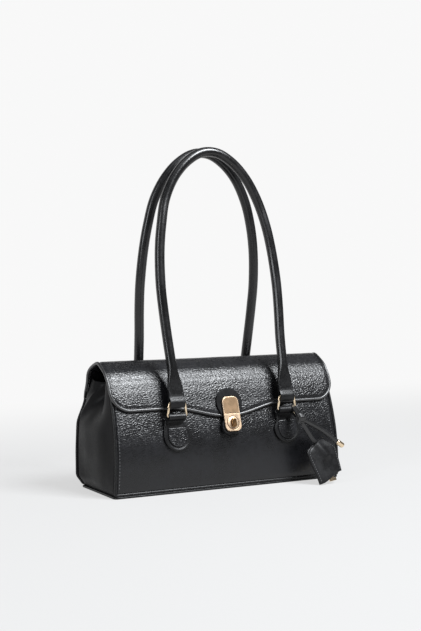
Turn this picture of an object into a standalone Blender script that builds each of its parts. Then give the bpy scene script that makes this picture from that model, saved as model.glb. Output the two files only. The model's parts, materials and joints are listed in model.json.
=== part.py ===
"""A small black leather shoulder bag: folded gussets, an arched flap with a turn lock, two tall
handles on four metal rings, and a lanyard with a key bell.

Metres, +Z up. The front of the bag faces -Y and its length runs along X. The origin is on the floor
under the middle of the base.
"""

import math

import bmesh
import bpy
from mathutils import Matrix, Vector

# Leather shell
BASE_HALF_LENGTH = 0.1475
END_LEAN = 0.0040
TOP_HALF_LENGTH = BASE_HALF_LENGTH - END_LEAN
BASE_HALF_DEPTH = 0.0455
PANEL_HEIGHT = 0.1260
FRONT_LEAN = 0.0250
FRONT_BELLY = 0.0035
BACK_LEAN = 0.0055
BACK_BELLY = 0.0060
LEATHER = 0.0018
BASE_THICKNESS = 0.0024
PIPING_RADIUS = 0.0015
SEAM_GAP = 0.0003
GUSSET_BULGE = 0.0060
GUSSET_FOLD = 0.0170
GUSSET_FOLD_DROP = 0.0600
GUSSET_FOLD_START = PANEL_HEIGHT - GUSSET_FOLD_DROP
GUSSET_DIP = 0.0040
GUSSET_TOP_INSET = 0.0120
GUSSET_FOLD_SHARE = 0.19
REAR_SWELL = 0.0068
REAR_SWELL_FOOT = 0.0030
REAR_SWELL_RISE = 0.0130
REAR_SWELL_TOP = 0.0720
REAR_SWELL_FALL = 0.0300
GUSSET_SWELL_SHARE = 0.90
FRONT_CURVE_POWER = 2.0
LINING_CORNER_POWER = 0.22
BOARD_THICKNESS = 0.0020
BOARD_INSET = 0.0060
LINING_THICKNESS = 0.0010
LINING_GAP = 0.0006
LINING_DROP = 0.0080
LINING_TOP = PANEL_HEIGHT - LINING_DROP
LINING_PINCH = 0.0160
POCKET_HALF_WIDTH = 0.0600
POCKET_BOTTOM = 0.0300
POCKET_DROP = 0.0380
POCKET_TOP = PANEL_HEIGHT - POCKET_DROP
POCKET_BAG = 0.0022

# Flap
FLAP_END_INSET = 0.0005
FLAP_HALF_LENGTH = TOP_HALF_LENGTH - FLAP_END_INSET
FLAP_THICKNESS = 0.0028
FLAP_CLEARANCE = 0.0007
FLAP_RISE = 0.0204
FLAP_HEIGHT = PANEL_HEIGHT + FLAP_RISE
RIDGE_BACK_SET = 0.0040
FLAP_EDGE_DROP = 0.0295
FLAP_EDGE_HEIGHT = PANEL_HEIGHT - FLAP_EDGE_DROP
FLAP_DIP = 0.0120
FLAP_DIP_REACH = 0.0750
FLAP_CORNER = 0.0200
FLAP_HINGE_DROP = 0.0242
FLAP_HINGE_HEIGHT = PANEL_HEIGHT - FLAP_HINGE_DROP
FLAP_SHOULDER = 0.0095
FLAP_WAIST = 0.0018
INNER_BACK_DROP = 0.0060
FLAP_SWELL = 0.0010
FLAP_BEAD_RADIUS = 0.0013

# Turn lock
LOCK_HALF_WIDTH = 0.0105
LOCK_CORNER = 0.0055
LOCK_SPLIT_HEIGHT = FLAP_EDGE_HEIGHT - FLAP_DIP
LOCK_UPPER = 0.0195
LOCK_LOWER = 0.0205
LOCK_PLATE = 0.0020
LOCK_GAP = 0.0004
LOCK_BACKING_MARGIN = 0.0022
LOCK_SINK = 0.0030
TAB_HALF_WIDTH = 0.0165
TAB_HEIGHT = 0.0300
TAB_THICKNESS = 0.0015
KNOB_DROP = 0.0110
KNOB_DISC_RADIUS = 0.0062
KNOB_DISC_THICKNESS = 0.0010
KNOB_HALF_WIDTH = 0.0022
KNOB_HALF_HEIGHT = 0.0050
KNOB_STAND = 0.0038
KNOB_STEM_RADIUS = 0.0020
WASHER_THICKNESS = 0.0012

# Rings and the leather tabs that hold them
RING_PLACE = 0.0720
RING_WIRE = 0.0014
RING_HALF_WIDTH = 0.0120
RING_BOW = 0.0010
FRONT_RING_STAND = 0.0038
RING_CORNER = 0.0022
RING_DROP = 0.0400
RING_RISE = 0.0165
RING_LOW_HEIGHT = PANEL_HEIGHT - RING_DROP
RING_HIGH_HEIGHT = RING_LOW_HEIGHT + RING_RISE
RING_PLAY = 0.0004
STRAP = 0.0022
TAB_LOOP_HALF_WIDTH = 0.0100
TAB_ROUND_RADIUS = 0.0175
TAB_ROUND_DROP = 0.0210
TAB_ROUND_HEIGHT = RING_LOW_HEIGHT - TAB_ROUND_DROP
TAB_PATCH = 0.0020
TAB_NECK_SHARE = 1.6
TAB_TAPER_SHARE = 1.4
TAB_DROP_SHARE = 1.6
TAB_LANYARD_CUT = 0.0031

# Handles
HANDLE_RADIUS = 0.0057
HANDLE_SPREAD = 0.0768
HANDLE_LOOP_LENGTH = 0.0125
HANDLE_FOOT = RING_HIGH_HEIGHT + HANDLE_LOOP_LENGTH
HANDLE_ARCH_HEIGHT = 0.2718
HANDLE_TOP = HANDLE_FOOT + HANDLE_ARCH_HEIGHT
HANDLE_LOOP_HALF_WIDTH = 0.0092
FRONT_HANDLE_SWAY = 0.0540
REAR_HANDLE_SWAY = 0.0260

# Lanyard, key bell and key
CHARM_WIRE = 0.0015
CHARM_SIDE = 0.0089
CHARM_KNOT_REACH = 0.0180
CHARM_KNOT_DROP = 0.0087
CHARM_KNOT_RADIUS = 0.0042
CHARM_PLAY = 0.0005
STRAND_RADIUS = 0.0024
CAP_RADIUS = 0.0036
CAP_LENGTH = 0.0110
BELL_HALF_WIDTH = 0.0180
BELL_LENGTH = 0.0460
BELL_SHOULDER = 0.0120
BELL_WALL = 0.0014
BELL_MOUTH = 0.0026
BELL_APEX_HALF_WIDTH = 0.0039
KEY_THICKNESS = 0.0012
KEY_HEAD_RADIUS = 0.0075
KEY_BLADE_HALF_WIDTH = 0.0025
KEY_LENGTH = 0.0330

TAIL_REACH = (0.0520, 0.0020, -0.0310)
TAIL_ARCH = 0.0012
BELL_TOP_REACH = (0.0273, -0.0010, -0.0290)
BELL_WAY = (0.12, -0.30, -0.945)
BELL_ACROSS = (0.93, 0.16, 0.33)
BELL_TRAVEL = 0.0050
BELL_STRAND = 0.0014
DROP_START = (0.35, 0.00, -1.00)
DROP_SAG = (0.0110, -0.0006, -0.0185)
BELL_FOOT_SHARE = 0.97
KNOT_ROUND_SHARE = 0.55
LOOP_WAIST_SHARE = 0.55
CAP_ROUND_SHARE = 0.30

OVERRUN = 0.0200
WELD = 0.00001

PARTS = bpy.data.collections.new("shoulder_bag")
CUTTERS = bpy.data.collections.new("cutters")
MATERIALS = {}


def clear_scene():
    """Remove what the file starts with."""
    for obj in list(bpy.data.objects):
        bpy.data.objects.remove(obj, do_unlink=True)


def material(name, colour, roughness, metallic=0.0):
    """A plain Principled material, made once for each name."""
    if name not in MATERIALS:
        made = bpy.data.materials.new(name)
        made.use_nodes = True
        shader = made.node_tree.nodes["Principled BSDF"]
        shader.inputs["Base Color"].default_value = (*colour, 1.0)
        shader.inputs["Roughness"].default_value = roughness
        shader.inputs["Metallic"].default_value = metallic
        MATERIALS[name] = made
    return MATERIALS[name]


def grained_leather():
    return material("grained_leather", (0.022, 0.022, 0.024), 0.42)


def smooth_leather():
    return material("smooth_leather", (0.018, 0.018, 0.019), 0.35)


def lining_cloth():
    return material("lining_cloth", (0.05, 0.045, 0.042), 0.85)


def pale_gold():
    return material("pale_gold", (0.78, 0.58, 0.36), 0.22, 1.0)


def dark_bronze():
    return material("dark_bronze", (0.20, 0.13, 0.075), 0.35, 1.0)


def brushed_gold():
    return material("brushed_gold", (0.60, 0.42, 0.26), 0.38, 1.0)


def stiff_board():
    return material("stiff_board", (0.25, 0.20, 0.15), 0.8)


def smoothstep(value):
    """0 below 0, 1 above 1, and a smooth rise between them."""
    held = min(max(value, 0.0), 1.0)
    return held * held * (3.0 - 2.0 * held)


def smooth_path(points, pieces):
    """A centripetal curve through the points, with this many pieces from each point to the next."""
    points = [Vector(point) for point in points]
    ends = [2 * points[0] - points[1]] + points + [2 * points[-1] - points[-2]]
    path = []
    for before, start, stop, after in zip(ends, ends[1:], ends[2:], ends[3:]):
        first = (start - before).length ** 0.5
        middle = first + (stop - start).length ** 0.5
        last = middle + (after - stop).length ** 0.5
        for step in range(pieces):
            at = first + (middle - first) * step / pieces
            low = before.lerp(start, at / first)
            centre = start.lerp(stop, (at - first) / (middle - first))
            high = stop.lerp(after, (at - middle) / (last - middle))
            left = low.lerp(centre, at / middle)
            right = centre.lerp(high, (at - first) / (last - first))
            path.append(left.lerp(right, (at - first) / (middle - first)))
    return path + [points[-1]]


def collect(obj, finish, collection=None):
    """Put an object in its collection with its material."""
    (collection or PARTS).objects.link(obj)
    if finish:
        obj.data.materials.clear()
        obj.data.materials.append(finish)
    return obj


def mesh_object(name, builder, finish, collection=None):
    """A mesh object from a filled bmesh."""
    data = bpy.data.meshes.new(name)
    builder.to_mesh(data)
    builder.free()
    return collect(bpy.data.objects.new(name, data), finish, collection)


def shade(obj, angle=math.radians(40)):
    """Shade a round piece smooth, with its sharp edges kept."""
    obj.data.shade_smooth()
    obj.data.set_sharp_from_angle(angle=angle)
    return obj


def face_outwards(builder, inside):
    """Turn the faces of an open surface away from a point inside the bag."""
    bmesh.ops.recalc_face_normals(builder, faces=builder.faces)
    faces = builder.faces
    away = sum(face.normal.dot(face.calc_center_median() - inside) * face.calc_area() for face in faces)
    if away < 0:
        bmesh.ops.reverse_faces(builder, faces=faces)


def sheet(name, columns, rows, place, thickness, finish):
    """A grid whose points place(u, v) puts, u and v from 0 to 1, with its wall on the inner side."""
    builder = bmesh.new()
    bmesh.ops.create_grid(builder, x_segments=columns, y_segments=rows, size=0.5)
    for vertex in builder.verts:
        vertex.co = Vector(place(vertex.co.x + 0.5, vertex.co.y + 0.5))
    face_outwards(builder, Vector((0.0, 0.0, PANEL_HEIGHT / 2)))
    obj = mesh_object(name, builder, finish)
    wall = obj.modifiers.new("wall", "SOLIDIFY")
    wall.thickness = thickness
    wall.offset = -1.0
    wall.use_even_offset = True
    return shade(obj)


def tube(name, points, radius, finish, closed=False, sides=2, collection=None):
    """A round tube along a list of points."""
    data = bpy.data.curves.new(name, "CURVE")
    data.dimensions = "3D"
    data.bevel_depth = radius
    data.bevel_resolution = sides
    data.use_fill_caps = not closed
    spline = data.splines.new("POLY")
    spline.points.add(len(points) - 1)
    for point, place in zip(spline.points, points):
        point.co = (*place, 1.0)
    spline.use_cyclic_u = closed
    spline.use_smooth = True
    return collect(bpy.data.objects.new(name, data), finish, collection)


def plate(name, outline, thickness, finish, collection=None):
    """A flat plate from a closed outline in its own XY plane, its thickness centred on that plane."""
    data = bpy.data.curves.new(name, "CURVE")
    data.dimensions = "2D"
    data.fill_mode = "BOTH"
    data.extrude = thickness / 2
    spline = data.splines.new("POLY")
    spline.points.add(len(outline) - 1)
    for point, place in zip(spline.points, outline):
        point.co = (place[0], place[1], 0.0, 1.0)
    spline.use_cyclic_u = True
    return collect(bpy.data.objects.new(name, data), finish, collection)


def cylinder(name, radius, depth, matrix, finish, sides=24, collection=None):
    """A cylinder along its own Z, placed by a matrix."""
    builder = bmesh.new()
    bmesh.ops.create_cone(
        builder, cap_ends=True, segments=sides, radius1=radius, radius2=radius, depth=depth
    )
    obj = mesh_object(name, builder, finish, collection)
    obj.matrix_world = matrix
    return shade(obj)


def box(name, low, high, finish):
    """A box between two corners."""
    builder = bmesh.new()
    bmesh.ops.create_cube(builder, size=1.0)
    size = Vector(high) - Vector(low)
    centre = (Vector(high) + Vector(low)) / 2
    for vertex in builder.verts:
        vertex.co = Vector((vertex.co[i] * size[i] for i in range(3)))
    obj = mesh_object(name, builder, finish)
    obj.location = centre
    return obj


def as_mesh(obj):
    """Turn a curve object into a mesh one, with its caps welded, so that it can be cut or joined."""
    bpy.context.view_layer.update()
    graph = bpy.context.evaluated_depsgraph_get()
    data = bpy.data.meshes.new_from_object(obj.evaluated_get(graph))
    builder = bmesh.new()
    builder.from_mesh(data)
    bmesh.ops.remove_doubles(builder, verts=builder.verts, dist=WELD)
    bmesh.ops.recalc_face_normals(builder, faces=builder.faces)
    builder.to_mesh(data)
    builder.free()
    name = obj.name
    place = obj.matrix_world.copy()
    homes = list(obj.users_collection)
    bpy.data.objects.remove(obj, do_unlink=True)
    data.name = name
    made = bpy.data.objects.new(name, data)
    for home in homes:
        home.objects.link(made)
    made.matrix_world = place
    return made


def boolean(obj, other, operation):
    """Join a helper to an object, or cut it out, and hide the helper."""
    other.hide_render = True
    other.display_type = "WIRE"
    step = obj.modifiers.new(operation.lower(), "BOOLEAN")
    step.operation = operation
    step.solver = "EXACT"
    step.object = other
    return obj


def arc(centre, radius, start, stop, count):
    """Points along an arc, with angles in degrees."""
    points = []
    for step in range(count + 1):
        angle = math.radians(start + (stop - start) * step / count)
        points.append((centre[0] + radius * math.cos(angle), centre[1] + radius * math.sin(angle)))
    return points


def rounded_rectangle(half_width, low, high, corner, count=6, low_corner=None):
    """A rounded rectangle, counter-clockwise from its lower right corner."""
    foot = corner if low_corner is None else low_corner
    points = arc((half_width - foot, low + foot), foot, -90, 0, count)
    points += arc((half_width - corner, high - corner), corner, 0, 90, count)
    points += arc((corner - half_width, high - corner), corner, 90, 180, count)
    points += arc((foot - half_width, low + foot), foot, 180, 270, count)
    return points


# The side profile of the shell


def half_length(z):
    """Half the length of the body at a height."""
    return BASE_HALF_LENGTH + (TOP_HALF_LENGTH - BASE_HALF_LENGTH) * z / PANEL_HEIGHT


def front_y(z):
    """The outer face of the front panel."""
    share = z / PANEL_HEIGHT
    return FRONT_LEAN * share**FRONT_CURVE_POWER - BASE_HALF_DEPTH - FRONT_BELLY * math.sin(math.pi * share)


def back_y(z):
    """The outer face of the back panel."""
    share = z / PANEL_HEIGHT
    return BASE_HALF_DEPTH + BACK_BELLY * math.sin(math.pi * share) - BACK_LEAN * share**2


def rear_half_length(z):
    """Half the length of the body along its back, which swells between the base and the flap."""
    rise = smoothstep((z - REAR_SWELL_FOOT) / REAR_SWELL_RISE)
    fall = smoothstep((z - REAR_SWELL_TOP) / REAR_SWELL_FALL)
    return half_length(z) + REAR_SWELL * rise * (1 - fall)


def inner_back_y(z):
    """The back of what lies inside the flap, which draws in from just below the flap's hinge."""
    start = FLAP_HINGE_HEIGHT - INNER_BACK_DROP
    rise = smoothstep((z - start) / (PANEL_HEIGHT - start))
    return back_y(z) - GUSSET_TOP_INSET * rise


PANEL_FOOT = BASE_THICKNESS + 2 * SEAM_GAP + 2 * PIPING_RADIUS
PANEL_INSET = 2 * PIPING_RADIUS + SEAM_GAP


def front_panel():
    """The front panel, which leans back and swells a little."""

    def place(u, v):
        z = PANEL_FOOT + (PANEL_HEIGHT - PANEL_FOOT) * v
        x = (half_length(z) - PANEL_INSET) * (2 * u - 1)
        return x, front_y(z), z

    return sheet("front_panel", 6, 18, place, LEATHER, grained_leather())


def back_panel():
    """The back panel, which ends where the flap is sewn on."""

    def place(u, v):
        z = PANEL_FOOT + (FLAP_HINGE_HEIGHT - SEAM_GAP - PANEL_FOOT) * v
        x = (rear_half_length(z) - PANEL_INSET) * (1 - 2 * u)
        return x, back_y(z), z

    return sheet("back_panel", 6, 16, place, LEATHER, grained_leather())


def gusset_x(share, z):
    """How far a gusset stands out: swollen low down, folded in at its top."""
    height_share = min(z / PANEL_HEIGHT, GUSSET_SWELL_SHARE)
    swell = GUSSET_BULGE * math.sin(math.pi * share) * math.sin(math.pi * height_share)
    rise = smoothstep((z - GUSSET_FOLD_START) / (PANEL_HEIGHT - GUSSET_FOLD_START))
    fold = GUSSET_FOLD * rise * math.exp(-(((share - 0.5) / GUSSET_FOLD_SHARE) ** 2))
    rear = (rear_half_length(z) - half_length(z)) * share**2
    return half_length(z) - PIPING_RADIUS + swell - fold + rear


def gusset(name, side):
    """One end of the bag, between the two panels."""
    edge = 2 * PIPING_RADIUS + SEAM_GAP
    foot = BASE_THICKNESS + SEAM_GAP

    def place(u, v):
        share = u if side > 0 else 1 - u
        top = PANEL_HEIGHT - GUSSET_DIP * math.sin(math.pi * share)
        z = foot + (top - foot) * v
        low = front_y(z) + edge
        high = inner_back_y(z) - edge
        return side * gusset_x(share, z), low + (high - low) * share, z

    return sheet(name, 14, 16, place, LEATHER, smooth_leather())


def piping(name, face, top, reach):
    """The corded seam round the sides and foot of a panel."""
    low = BASE_THICKNESS + SEAM_GAP + PIPING_RADIUS
    turn = PIPING_RADIUS + SEAM_GAP
    inward = PIPING_RADIUS if face(low) < 0 else -PIPING_RADIUS
    right = []
    count = 15
    for step in range(count + 1):
        z = top + (low + turn - top) * step / count
        right.append((reach(z) - PIPING_RADIUS, face(z) + inward, z))
    for step in range(1, 5):
        angle = math.radians(90 * step / 4)
        z = low + turn - turn * math.sin(angle)
        x = reach(z) - PIPING_RADIUS - turn * (1 - math.cos(angle))
        right.append((x, face(z) + inward, z))
    left = [(-x, y, z) for x, y, z in reversed(right)]
    return tube(name, right + left, PIPING_RADIUS, smooth_leather())


def base_panel():
    """The flat base."""
    half_x = half_length(0.0)
    half_y = BASE_HALF_DEPTH
    outline = rounded_rectangle(half_x, -half_y, half_y, 2 * BASE_THICKNESS, 3)
    obj = plate("base_panel", outline, BASE_THICKNESS, smooth_leather())
    obj.location = (0.0, 0.0, BASE_THICKNESS / 2)
    return obj


def base_board():
    """The stiff board that keeps the base flat."""
    low = BASE_THICKNESS + SEAM_GAP
    half_x = half_length(0.0) - BOARD_INSET
    half_y = BASE_HALF_DEPTH - BOARD_INSET
    return box(
        "base_board",
        (-half_x, -half_y, low),
        (half_x, half_y, low + BOARD_THICKNESS),
        stiff_board(),
    )


def lining():
    """The sewn lining: an open tray of cloth inside the shell."""
    foot = BASE_THICKNESS + BOARD_THICKNESS + 2 * SEAM_GAP
    levels = 7
    segments = 40

    def place(angle, z):
        share = (z - foot) / (LINING_TOP - foot)
        half_x = half_length(z) - 2 * PIPING_RADIUS - LEATHER - LINING_PINCH * share
        low = front_y(z) + PIPING_RADIUS + LEATHER + LINING_GAP
        high = inner_back_y(z) - PIPING_RADIUS - LEATHER - LINING_GAP
        cosine = math.cos(angle)
        sine = math.sin(angle)
        across = math.copysign(abs(cosine) ** LINING_CORNER_POWER, cosine)
        along = math.copysign(abs(sine) ** LINING_CORNER_POWER, sine)
        return Vector((half_x * across, (low + high) / 2 + (high - low) / 2 * along, z))

    builder = bmesh.new()
    bmesh.ops.create_circle(builder, cap_ends=True, segments=segments, radius=1.0)
    ring = list(builder.verts)
    angles = {vertex: math.atan2(vertex.co.y, vertex.co.x) for vertex in ring}
    for vertex in ring:
        vertex.co = place(angles[vertex], foot)
    edges = list(builder.edges)
    for level in range(1, levels + 1):
        made = bmesh.ops.extrude_edge_only(builder, edges=edges)["geom"]
        z = foot + (LINING_TOP - foot) * level / levels
        fresh = [item for item in made if isinstance(item, bmesh.types.BMVert)]
        by_place = {vertex.co.copy().freeze(): angles[vertex] for vertex in ring}
        angles = {vertex: by_place[vertex.co.copy().freeze()] for vertex in fresh}
        for vertex in fresh:
            vertex.co = place(angles[vertex], z)
        ring = fresh
        upper = set(fresh)
        edges = [
            item
            for item in made
            if isinstance(item, bmesh.types.BMEdge) and set(item.verts) <= upper
        ]
    face_outwards(builder, Vector((0.0, 0.0, PANEL_HEIGHT / 2)))
    obj = mesh_object("lining", builder, lining_cloth())
    wall = obj.modifiers.new("wall", "SOLIDIFY")
    wall.thickness = LINING_THICKNESS
    wall.offset = -1.0
    return shade(obj)


def inner_pocket():
    """The open pocket sewn to the back of the lining."""
    shell = PIPING_RADIUS + LEATHER + LINING_GAP + LINING_THICKNESS + SEAM_GAP

    def place(u, v):
        z = POCKET_BOTTOM + (POCKET_TOP - POCKET_BOTTOM) * v
        share = 2 * u - 1
        sag = POCKET_BAG * (1 - share**2) * math.sin(math.pi * v / 2)
        return POCKET_HALF_WIDTH * share, back_y(z) - shell - sag, z

    return sheet("inner_pocket", 8, 5, place, LINING_THICKNESS, lining_cloth())


# The flap


def flap_low(x):
    """The height of the flap's lower edge along its length, with round corners and a dip."""
    reach = abs(x) / FLAP_DIP_REACH
    dip = FLAP_DIP * 0.5 * (1 + math.cos(math.pi * reach)) if reach < 1 else 0.0
    past = abs(x) - (FLAP_HALF_LENGTH - FLAP_CORNER)
    rise = FLAP_CORNER - math.sqrt(max(FLAP_CORNER**2 - past**2, 0.0)) if past > 0 else 0.0
    return FLAP_EDGE_HEIGHT - dip + rise


def flap_front_y(z):
    """The outer face of the flap's front, which swells clear of the panel towards its shoulder."""
    shoulder = PANEL_HEIGHT - FLAP_SHOULDER
    swell = FLAP_SWELL * smoothstep((z - FLAP_EDGE_HEIGHT) / (shoulder - FLAP_EDGE_HEIGHT))
    return front_y(z) - FLAP_CLEARANCE - FLAP_THICKNESS - swell


FRONT_ARCH_SHARES = (
    (0.00, 0.00),
    (0.10, 0.25),
    (0.19, 0.385),
    (0.29, 0.535),
    (0.41, 0.665),
    (0.58, 0.785),
    (0.76, 0.90),
)
BACK_ARCH_SHARES = ((0.42, 0.83), (0.64, 0.66), (0.75, 0.47), (0.79, 0.22), (0.86, -0.02))


def flap_arch():
    """The outer profile of the flap from its front shoulder over the ridge to its hinge, in Y and Z."""
    shoulder = PANEL_HEIGHT - FLAP_SHOULDER
    over = FLAP_HEIGHT - shoulder
    front = flap_front_y(shoulder)
    back = back_y(shoulder)
    ridge = RIDGE_BACK_SET
    points = [(0.0, front + (ridge - front) * a, shoulder + over * b) for a, b in FRONT_ARCH_SHARES]
    points.append((0.0, ridge, FLAP_HEIGHT))
    points += [(0.0, ridge + (back - ridge) * a, shoulder + over * b) for a, b in BACK_ARCH_SHARES]
    middle = (shoulder + FLAP_HINGE_HEIGHT) / 2
    points.append((0.0, back_y(middle) - FLAP_WAIST, middle))
    foot = FLAP_HINGE_HEIGHT + FLAP_THICKNESS / 2
    points.append((0.0, back_y(FLAP_HINGE_HEIGHT), foot))
    points.append((0.0, back_y(FLAP_HINGE_HEIGHT), FLAP_HINGE_HEIGHT))
    return smooth_path(points, 2)


def flap_column(x, arch, front_rows):
    """The flap's outer profile at one place along its length, from its lower edge to its hinge."""
    low = flap_low(x)
    shoulder = arch[0].z
    column = []
    for step in range(front_rows):
        z = low + (shoulder - low) * step / front_rows
        column.append(Vector((x, flap_front_y(z), z)))
    column += [Vector((x, point.y, point.z)) for point in arch]
    return column


def flap_stations(half_columns):
    """Places along the flap, closer together at its round corners."""
    shares = []
    for step in range(half_columns + 1):
        shares.append(math.sin(math.pi / 2 * step / half_columns))
    return [-FLAP_HALF_LENGTH * share for share in reversed(shares[1:])] + [
        FLAP_HALF_LENGTH * share for share in shares
    ]


def flap():
    """The arched flap in one sheet."""
    arch = flap_arch()
    front_rows = 5
    stations = flap_stations(14)
    columns = [flap_column(x, arch, front_rows) for x in stations]
    across = len(stations) - 1
    along = len(columns[0]) - 1

    def place(u, v):
        return columns[round(u * across)][round(v * along)]

    return sheet("flap", across, along, place, FLAP_THICKNESS, grained_leather())


def flap_bead():
    """The rolled edge that runs down one side, along the flap's lower edge and up the other side."""
    arch = flap_arch()
    stand = FLAP_BEAD_RADIUS + 2 * SEAM_GAP
    side = FLAP_HALF_LENGTH + stand
    inward = FLAP_THICKNESS / 2
    edge = []
    for x in flap_stations(14):
        share = x / FLAP_HALF_LENGTH
        past = max(abs(x) - (FLAP_HALF_LENGTH - FLAP_CORNER), 0.0) / FLAP_CORNER
        out = stand * past
        down = stand * math.sqrt(max(1 - past**2, 0.0))
        z = flap_low(x) - down
        edge.append(Vector((x + math.copysign(out, share), flap_front_y(z) + inward, z)))
    shoulder = arch[0].z
    rise_from = edge[-1].z
    rise = []
    for step in range(1, 3):
        z = rise_from + (shoulder - rise_from) * step / 3
        rise.append(Vector((side, flap_front_y(z) + inward, z)))
    over = []
    for before, point, after in zip(arch, arch[1:], arch[2:]):
        direction = (after - before).normalized()
        normal = Vector((0.0, direction.z, -direction.y))
        over.append(Vector((side, point.y, point.z)) + normal * inward)
    right = rise + over
    left = [Vector((-point.x, point.y, point.z)) for point in reversed(right)]
    return tube("flap_bead", left + edge + right, FLAP_BEAD_RADIUS, smooth_leather())


# The lock

LOCK_LEAN = math.atan2(
    front_y(LOCK_SPLIT_HEIGHT + LOCK_UPPER) - front_y(LOCK_SPLIT_HEIGHT - LOCK_LOWER),
    LOCK_UPPER + LOCK_LOWER,
)


def lock_frame(out):
    """A frame on the lock's lean, its X to the right, its Y up the bag and its Z out of the lock."""
    turn = Matrix.Rotation(math.pi / 2 - LOCK_LEAN, 4, "X")
    normal = turn @ Vector((0.0, 0.0, 1.0))
    foot = Vector((0.0, flap_front_y(LOCK_SPLIT_HEIGHT), LOCK_SPLIT_HEIGHT))
    return Matrix.Translation(foot + normal * out) @ turn


TAB_OUT = SEAM_GAP + TAB_THICKNESS / 2
PLATE_OUT = TAB_OUT + TAB_THICKNESS / 2 + SEAM_GAP + LOCK_PLATE / 2


def lock_tab():
    """The smooth leather tab under the upper lock plate, round at its head."""
    head = TAB_HEIGHT - TAB_HALF_WIDTH
    foot_half = LOCK_HALF_WIDTH + LOCK_BACKING_MARGIN
    foot = LOCK_GAP
    outline = arc((0.0, head), TAB_HALF_WIDTH, -20, 200, 16)
    outline += [(-foot_half, foot), (foot_half, foot)]
    obj = plate("lock_tab", outline, TAB_THICKNESS, smooth_leather())
    obj.matrix_world = lock_frame(TAB_OUT)
    return obj


def lock_upper_plate():
    """The plate on the flap, with a round head."""
    outline = rounded_rectangle(
        LOCK_HALF_WIDTH, LOCK_GAP / 2, LOCK_UPPER, LOCK_CORNER, low_corner=LOCK_GAP
    )
    obj = plate("lock_upper_plate", outline, LOCK_PLATE, brushed_gold())
    obj.matrix_world = lock_frame(PLATE_OUT)
    return obj


def lock_seat_out():
    """How far the front panel's face lies behind the lock frame at the lock's foot."""
    foot = Vector((0.0, flap_front_y(LOCK_SPLIT_HEIGHT), LOCK_SPLIT_HEIGHT))
    drop = lock_frame(0.0).to_3x3() @ Vector((0.0, -LOCK_LOWER, 0.0))
    below = foot + drop
    normal = lock_frame(0.0).to_3x3() @ Vector((0.0, 0.0, 1.0))
    return (front_y(below.z) - below.y) * normal.y


def lock_pad():
    """The dark leather pad between the panel and the lower lock plate."""
    margin = LOCK_BACKING_MARGIN
    outline = rounded_rectangle(
        LOCK_HALF_WIDTH + margin, -LOCK_LOWER - margin, -LOCK_GAP - FLAP_BEAD_RADIUS * 4, LOCK_CORNER
    )
    seat = lock_seat_out() + SEAM_GAP - LOCK_SINK
    front = PLATE_OUT - LOCK_PLATE / 2 - SEAM_GAP
    obj = plate("lock_pad", outline, front - seat, smooth_leather())
    obj.matrix_world = lock_frame((front + seat) / 2)
    bpy.context.view_layer.update()
    solid = as_mesh(obj)
    bore = cylinder(
        "lock_pad_bore",
        KNOB_STEM_RADIUS + SEAM_GAP,
        OVERRUN,
        lock_frame(0.0) @ Matrix.Translation((0.0, -KNOB_DROP, 0.0)),
        None,
        collection=CUTTERS,
    )
    boolean(solid, bore, "DIFFERENCE")

    def place(u, v):
        z = LOCK_SPLIT_HEIGHT + OVERRUN - 3 * OVERRUN * v
        return OVERRUN * (1 - 2 * u), front_y(z) - SEAM_GAP, z

    behind = sheet("lock_pad_seat", 2, 24, place, OVERRUN, None)
    PARTS.objects.unlink(behind)
    CUTTERS.objects.link(behind)
    return boolean(solid, behind, "DIFFERENCE")


def lock_lower_plate():
    """The plate on the front panel, with the bore that the turning knob runs in."""
    outline = rounded_rectangle(
        LOCK_HALF_WIDTH, -LOCK_LOWER, -LOCK_GAP / 2, LOCK_GAP, low_corner=LOCK_CORNER
    )
    obj = plate("lock_lower_plate", outline, LOCK_PLATE, pale_gold())
    obj.matrix_world = lock_frame(PLATE_OUT)
    solid = as_mesh(obj)
    centre = lock_frame(0.0) @ Matrix.Translation((0.0, -KNOB_DROP, 0.0))
    bore = cylinder(
        "lock_plate_bore", KNOB_STEM_RADIUS + SEAM_GAP, OVERRUN, centre, None, collection=CUTTERS
    )
    boolean(solid, bore, "DIFFERENCE")
    recess = cylinder(
        "lock_plate_recess",
        KNOB_DISC_RADIUS + SEAM_GAP,
        2 * KNOB_DISC_THICKNESS,
        centre @ Matrix.Translation((0.0, 0.0, PLATE_OUT + LOCK_PLATE / 2)),
        None,
        collection=CUTTERS,
    )
    return boolean(solid, recess, "DIFFERENCE")


def turn_knob():
    """The knob: a disc in the plate's recess, an oval grip on it, and a stem through the plate."""
    centre = lock_frame(0.0) @ Matrix.Translation((0.0, -KNOB_DROP, 0.0))
    floor = PLATE_OUT + LOCK_PLATE / 2 - KNOB_DISC_THICKNESS + SEAM_GAP
    top = floor + KNOB_DISC_THICKNESS
    bottom = PLATE_OUT - LOCK_PLATE / 2 - 2 * SEAM_GAP
    disc = cylinder(
        "turn_knob",
        KNOB_DISC_RADIUS,
        top - floor,
        centre @ Matrix.Translation((0.0, 0.0, (top + floor) / 2)),
        dark_bronze(),
        sides=28,
    )
    stem = cylinder(
        "knob_stem",
        KNOB_STEM_RADIUS,
        (top + floor) / 2 - bottom,
        centre @ Matrix.Translation((0.0, 0.0, ((top + floor) / 2 + bottom) / 2)),
        None,
        sides=16,
        collection=CUTTERS,
    )
    boolean(disc, stem, "UNION")
    straight = KNOB_HALF_HEIGHT - KNOB_HALF_WIDTH
    outline = arc((0.0, straight), KNOB_HALF_WIDTH, 0, 180, 8)
    outline += arc((0.0, -straight), KNOB_HALF_WIDTH, 180, 360, 8)
    grip = plate("knob_grip", outline, KNOB_STAND, None, collection=CUTTERS)
    grip.matrix_world = centre @ Matrix.Translation((0.0, 0.0, floor + KNOB_STAND / 2 + SEAM_GAP))
    return boolean(disc, as_mesh(grip), "UNION")


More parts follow.
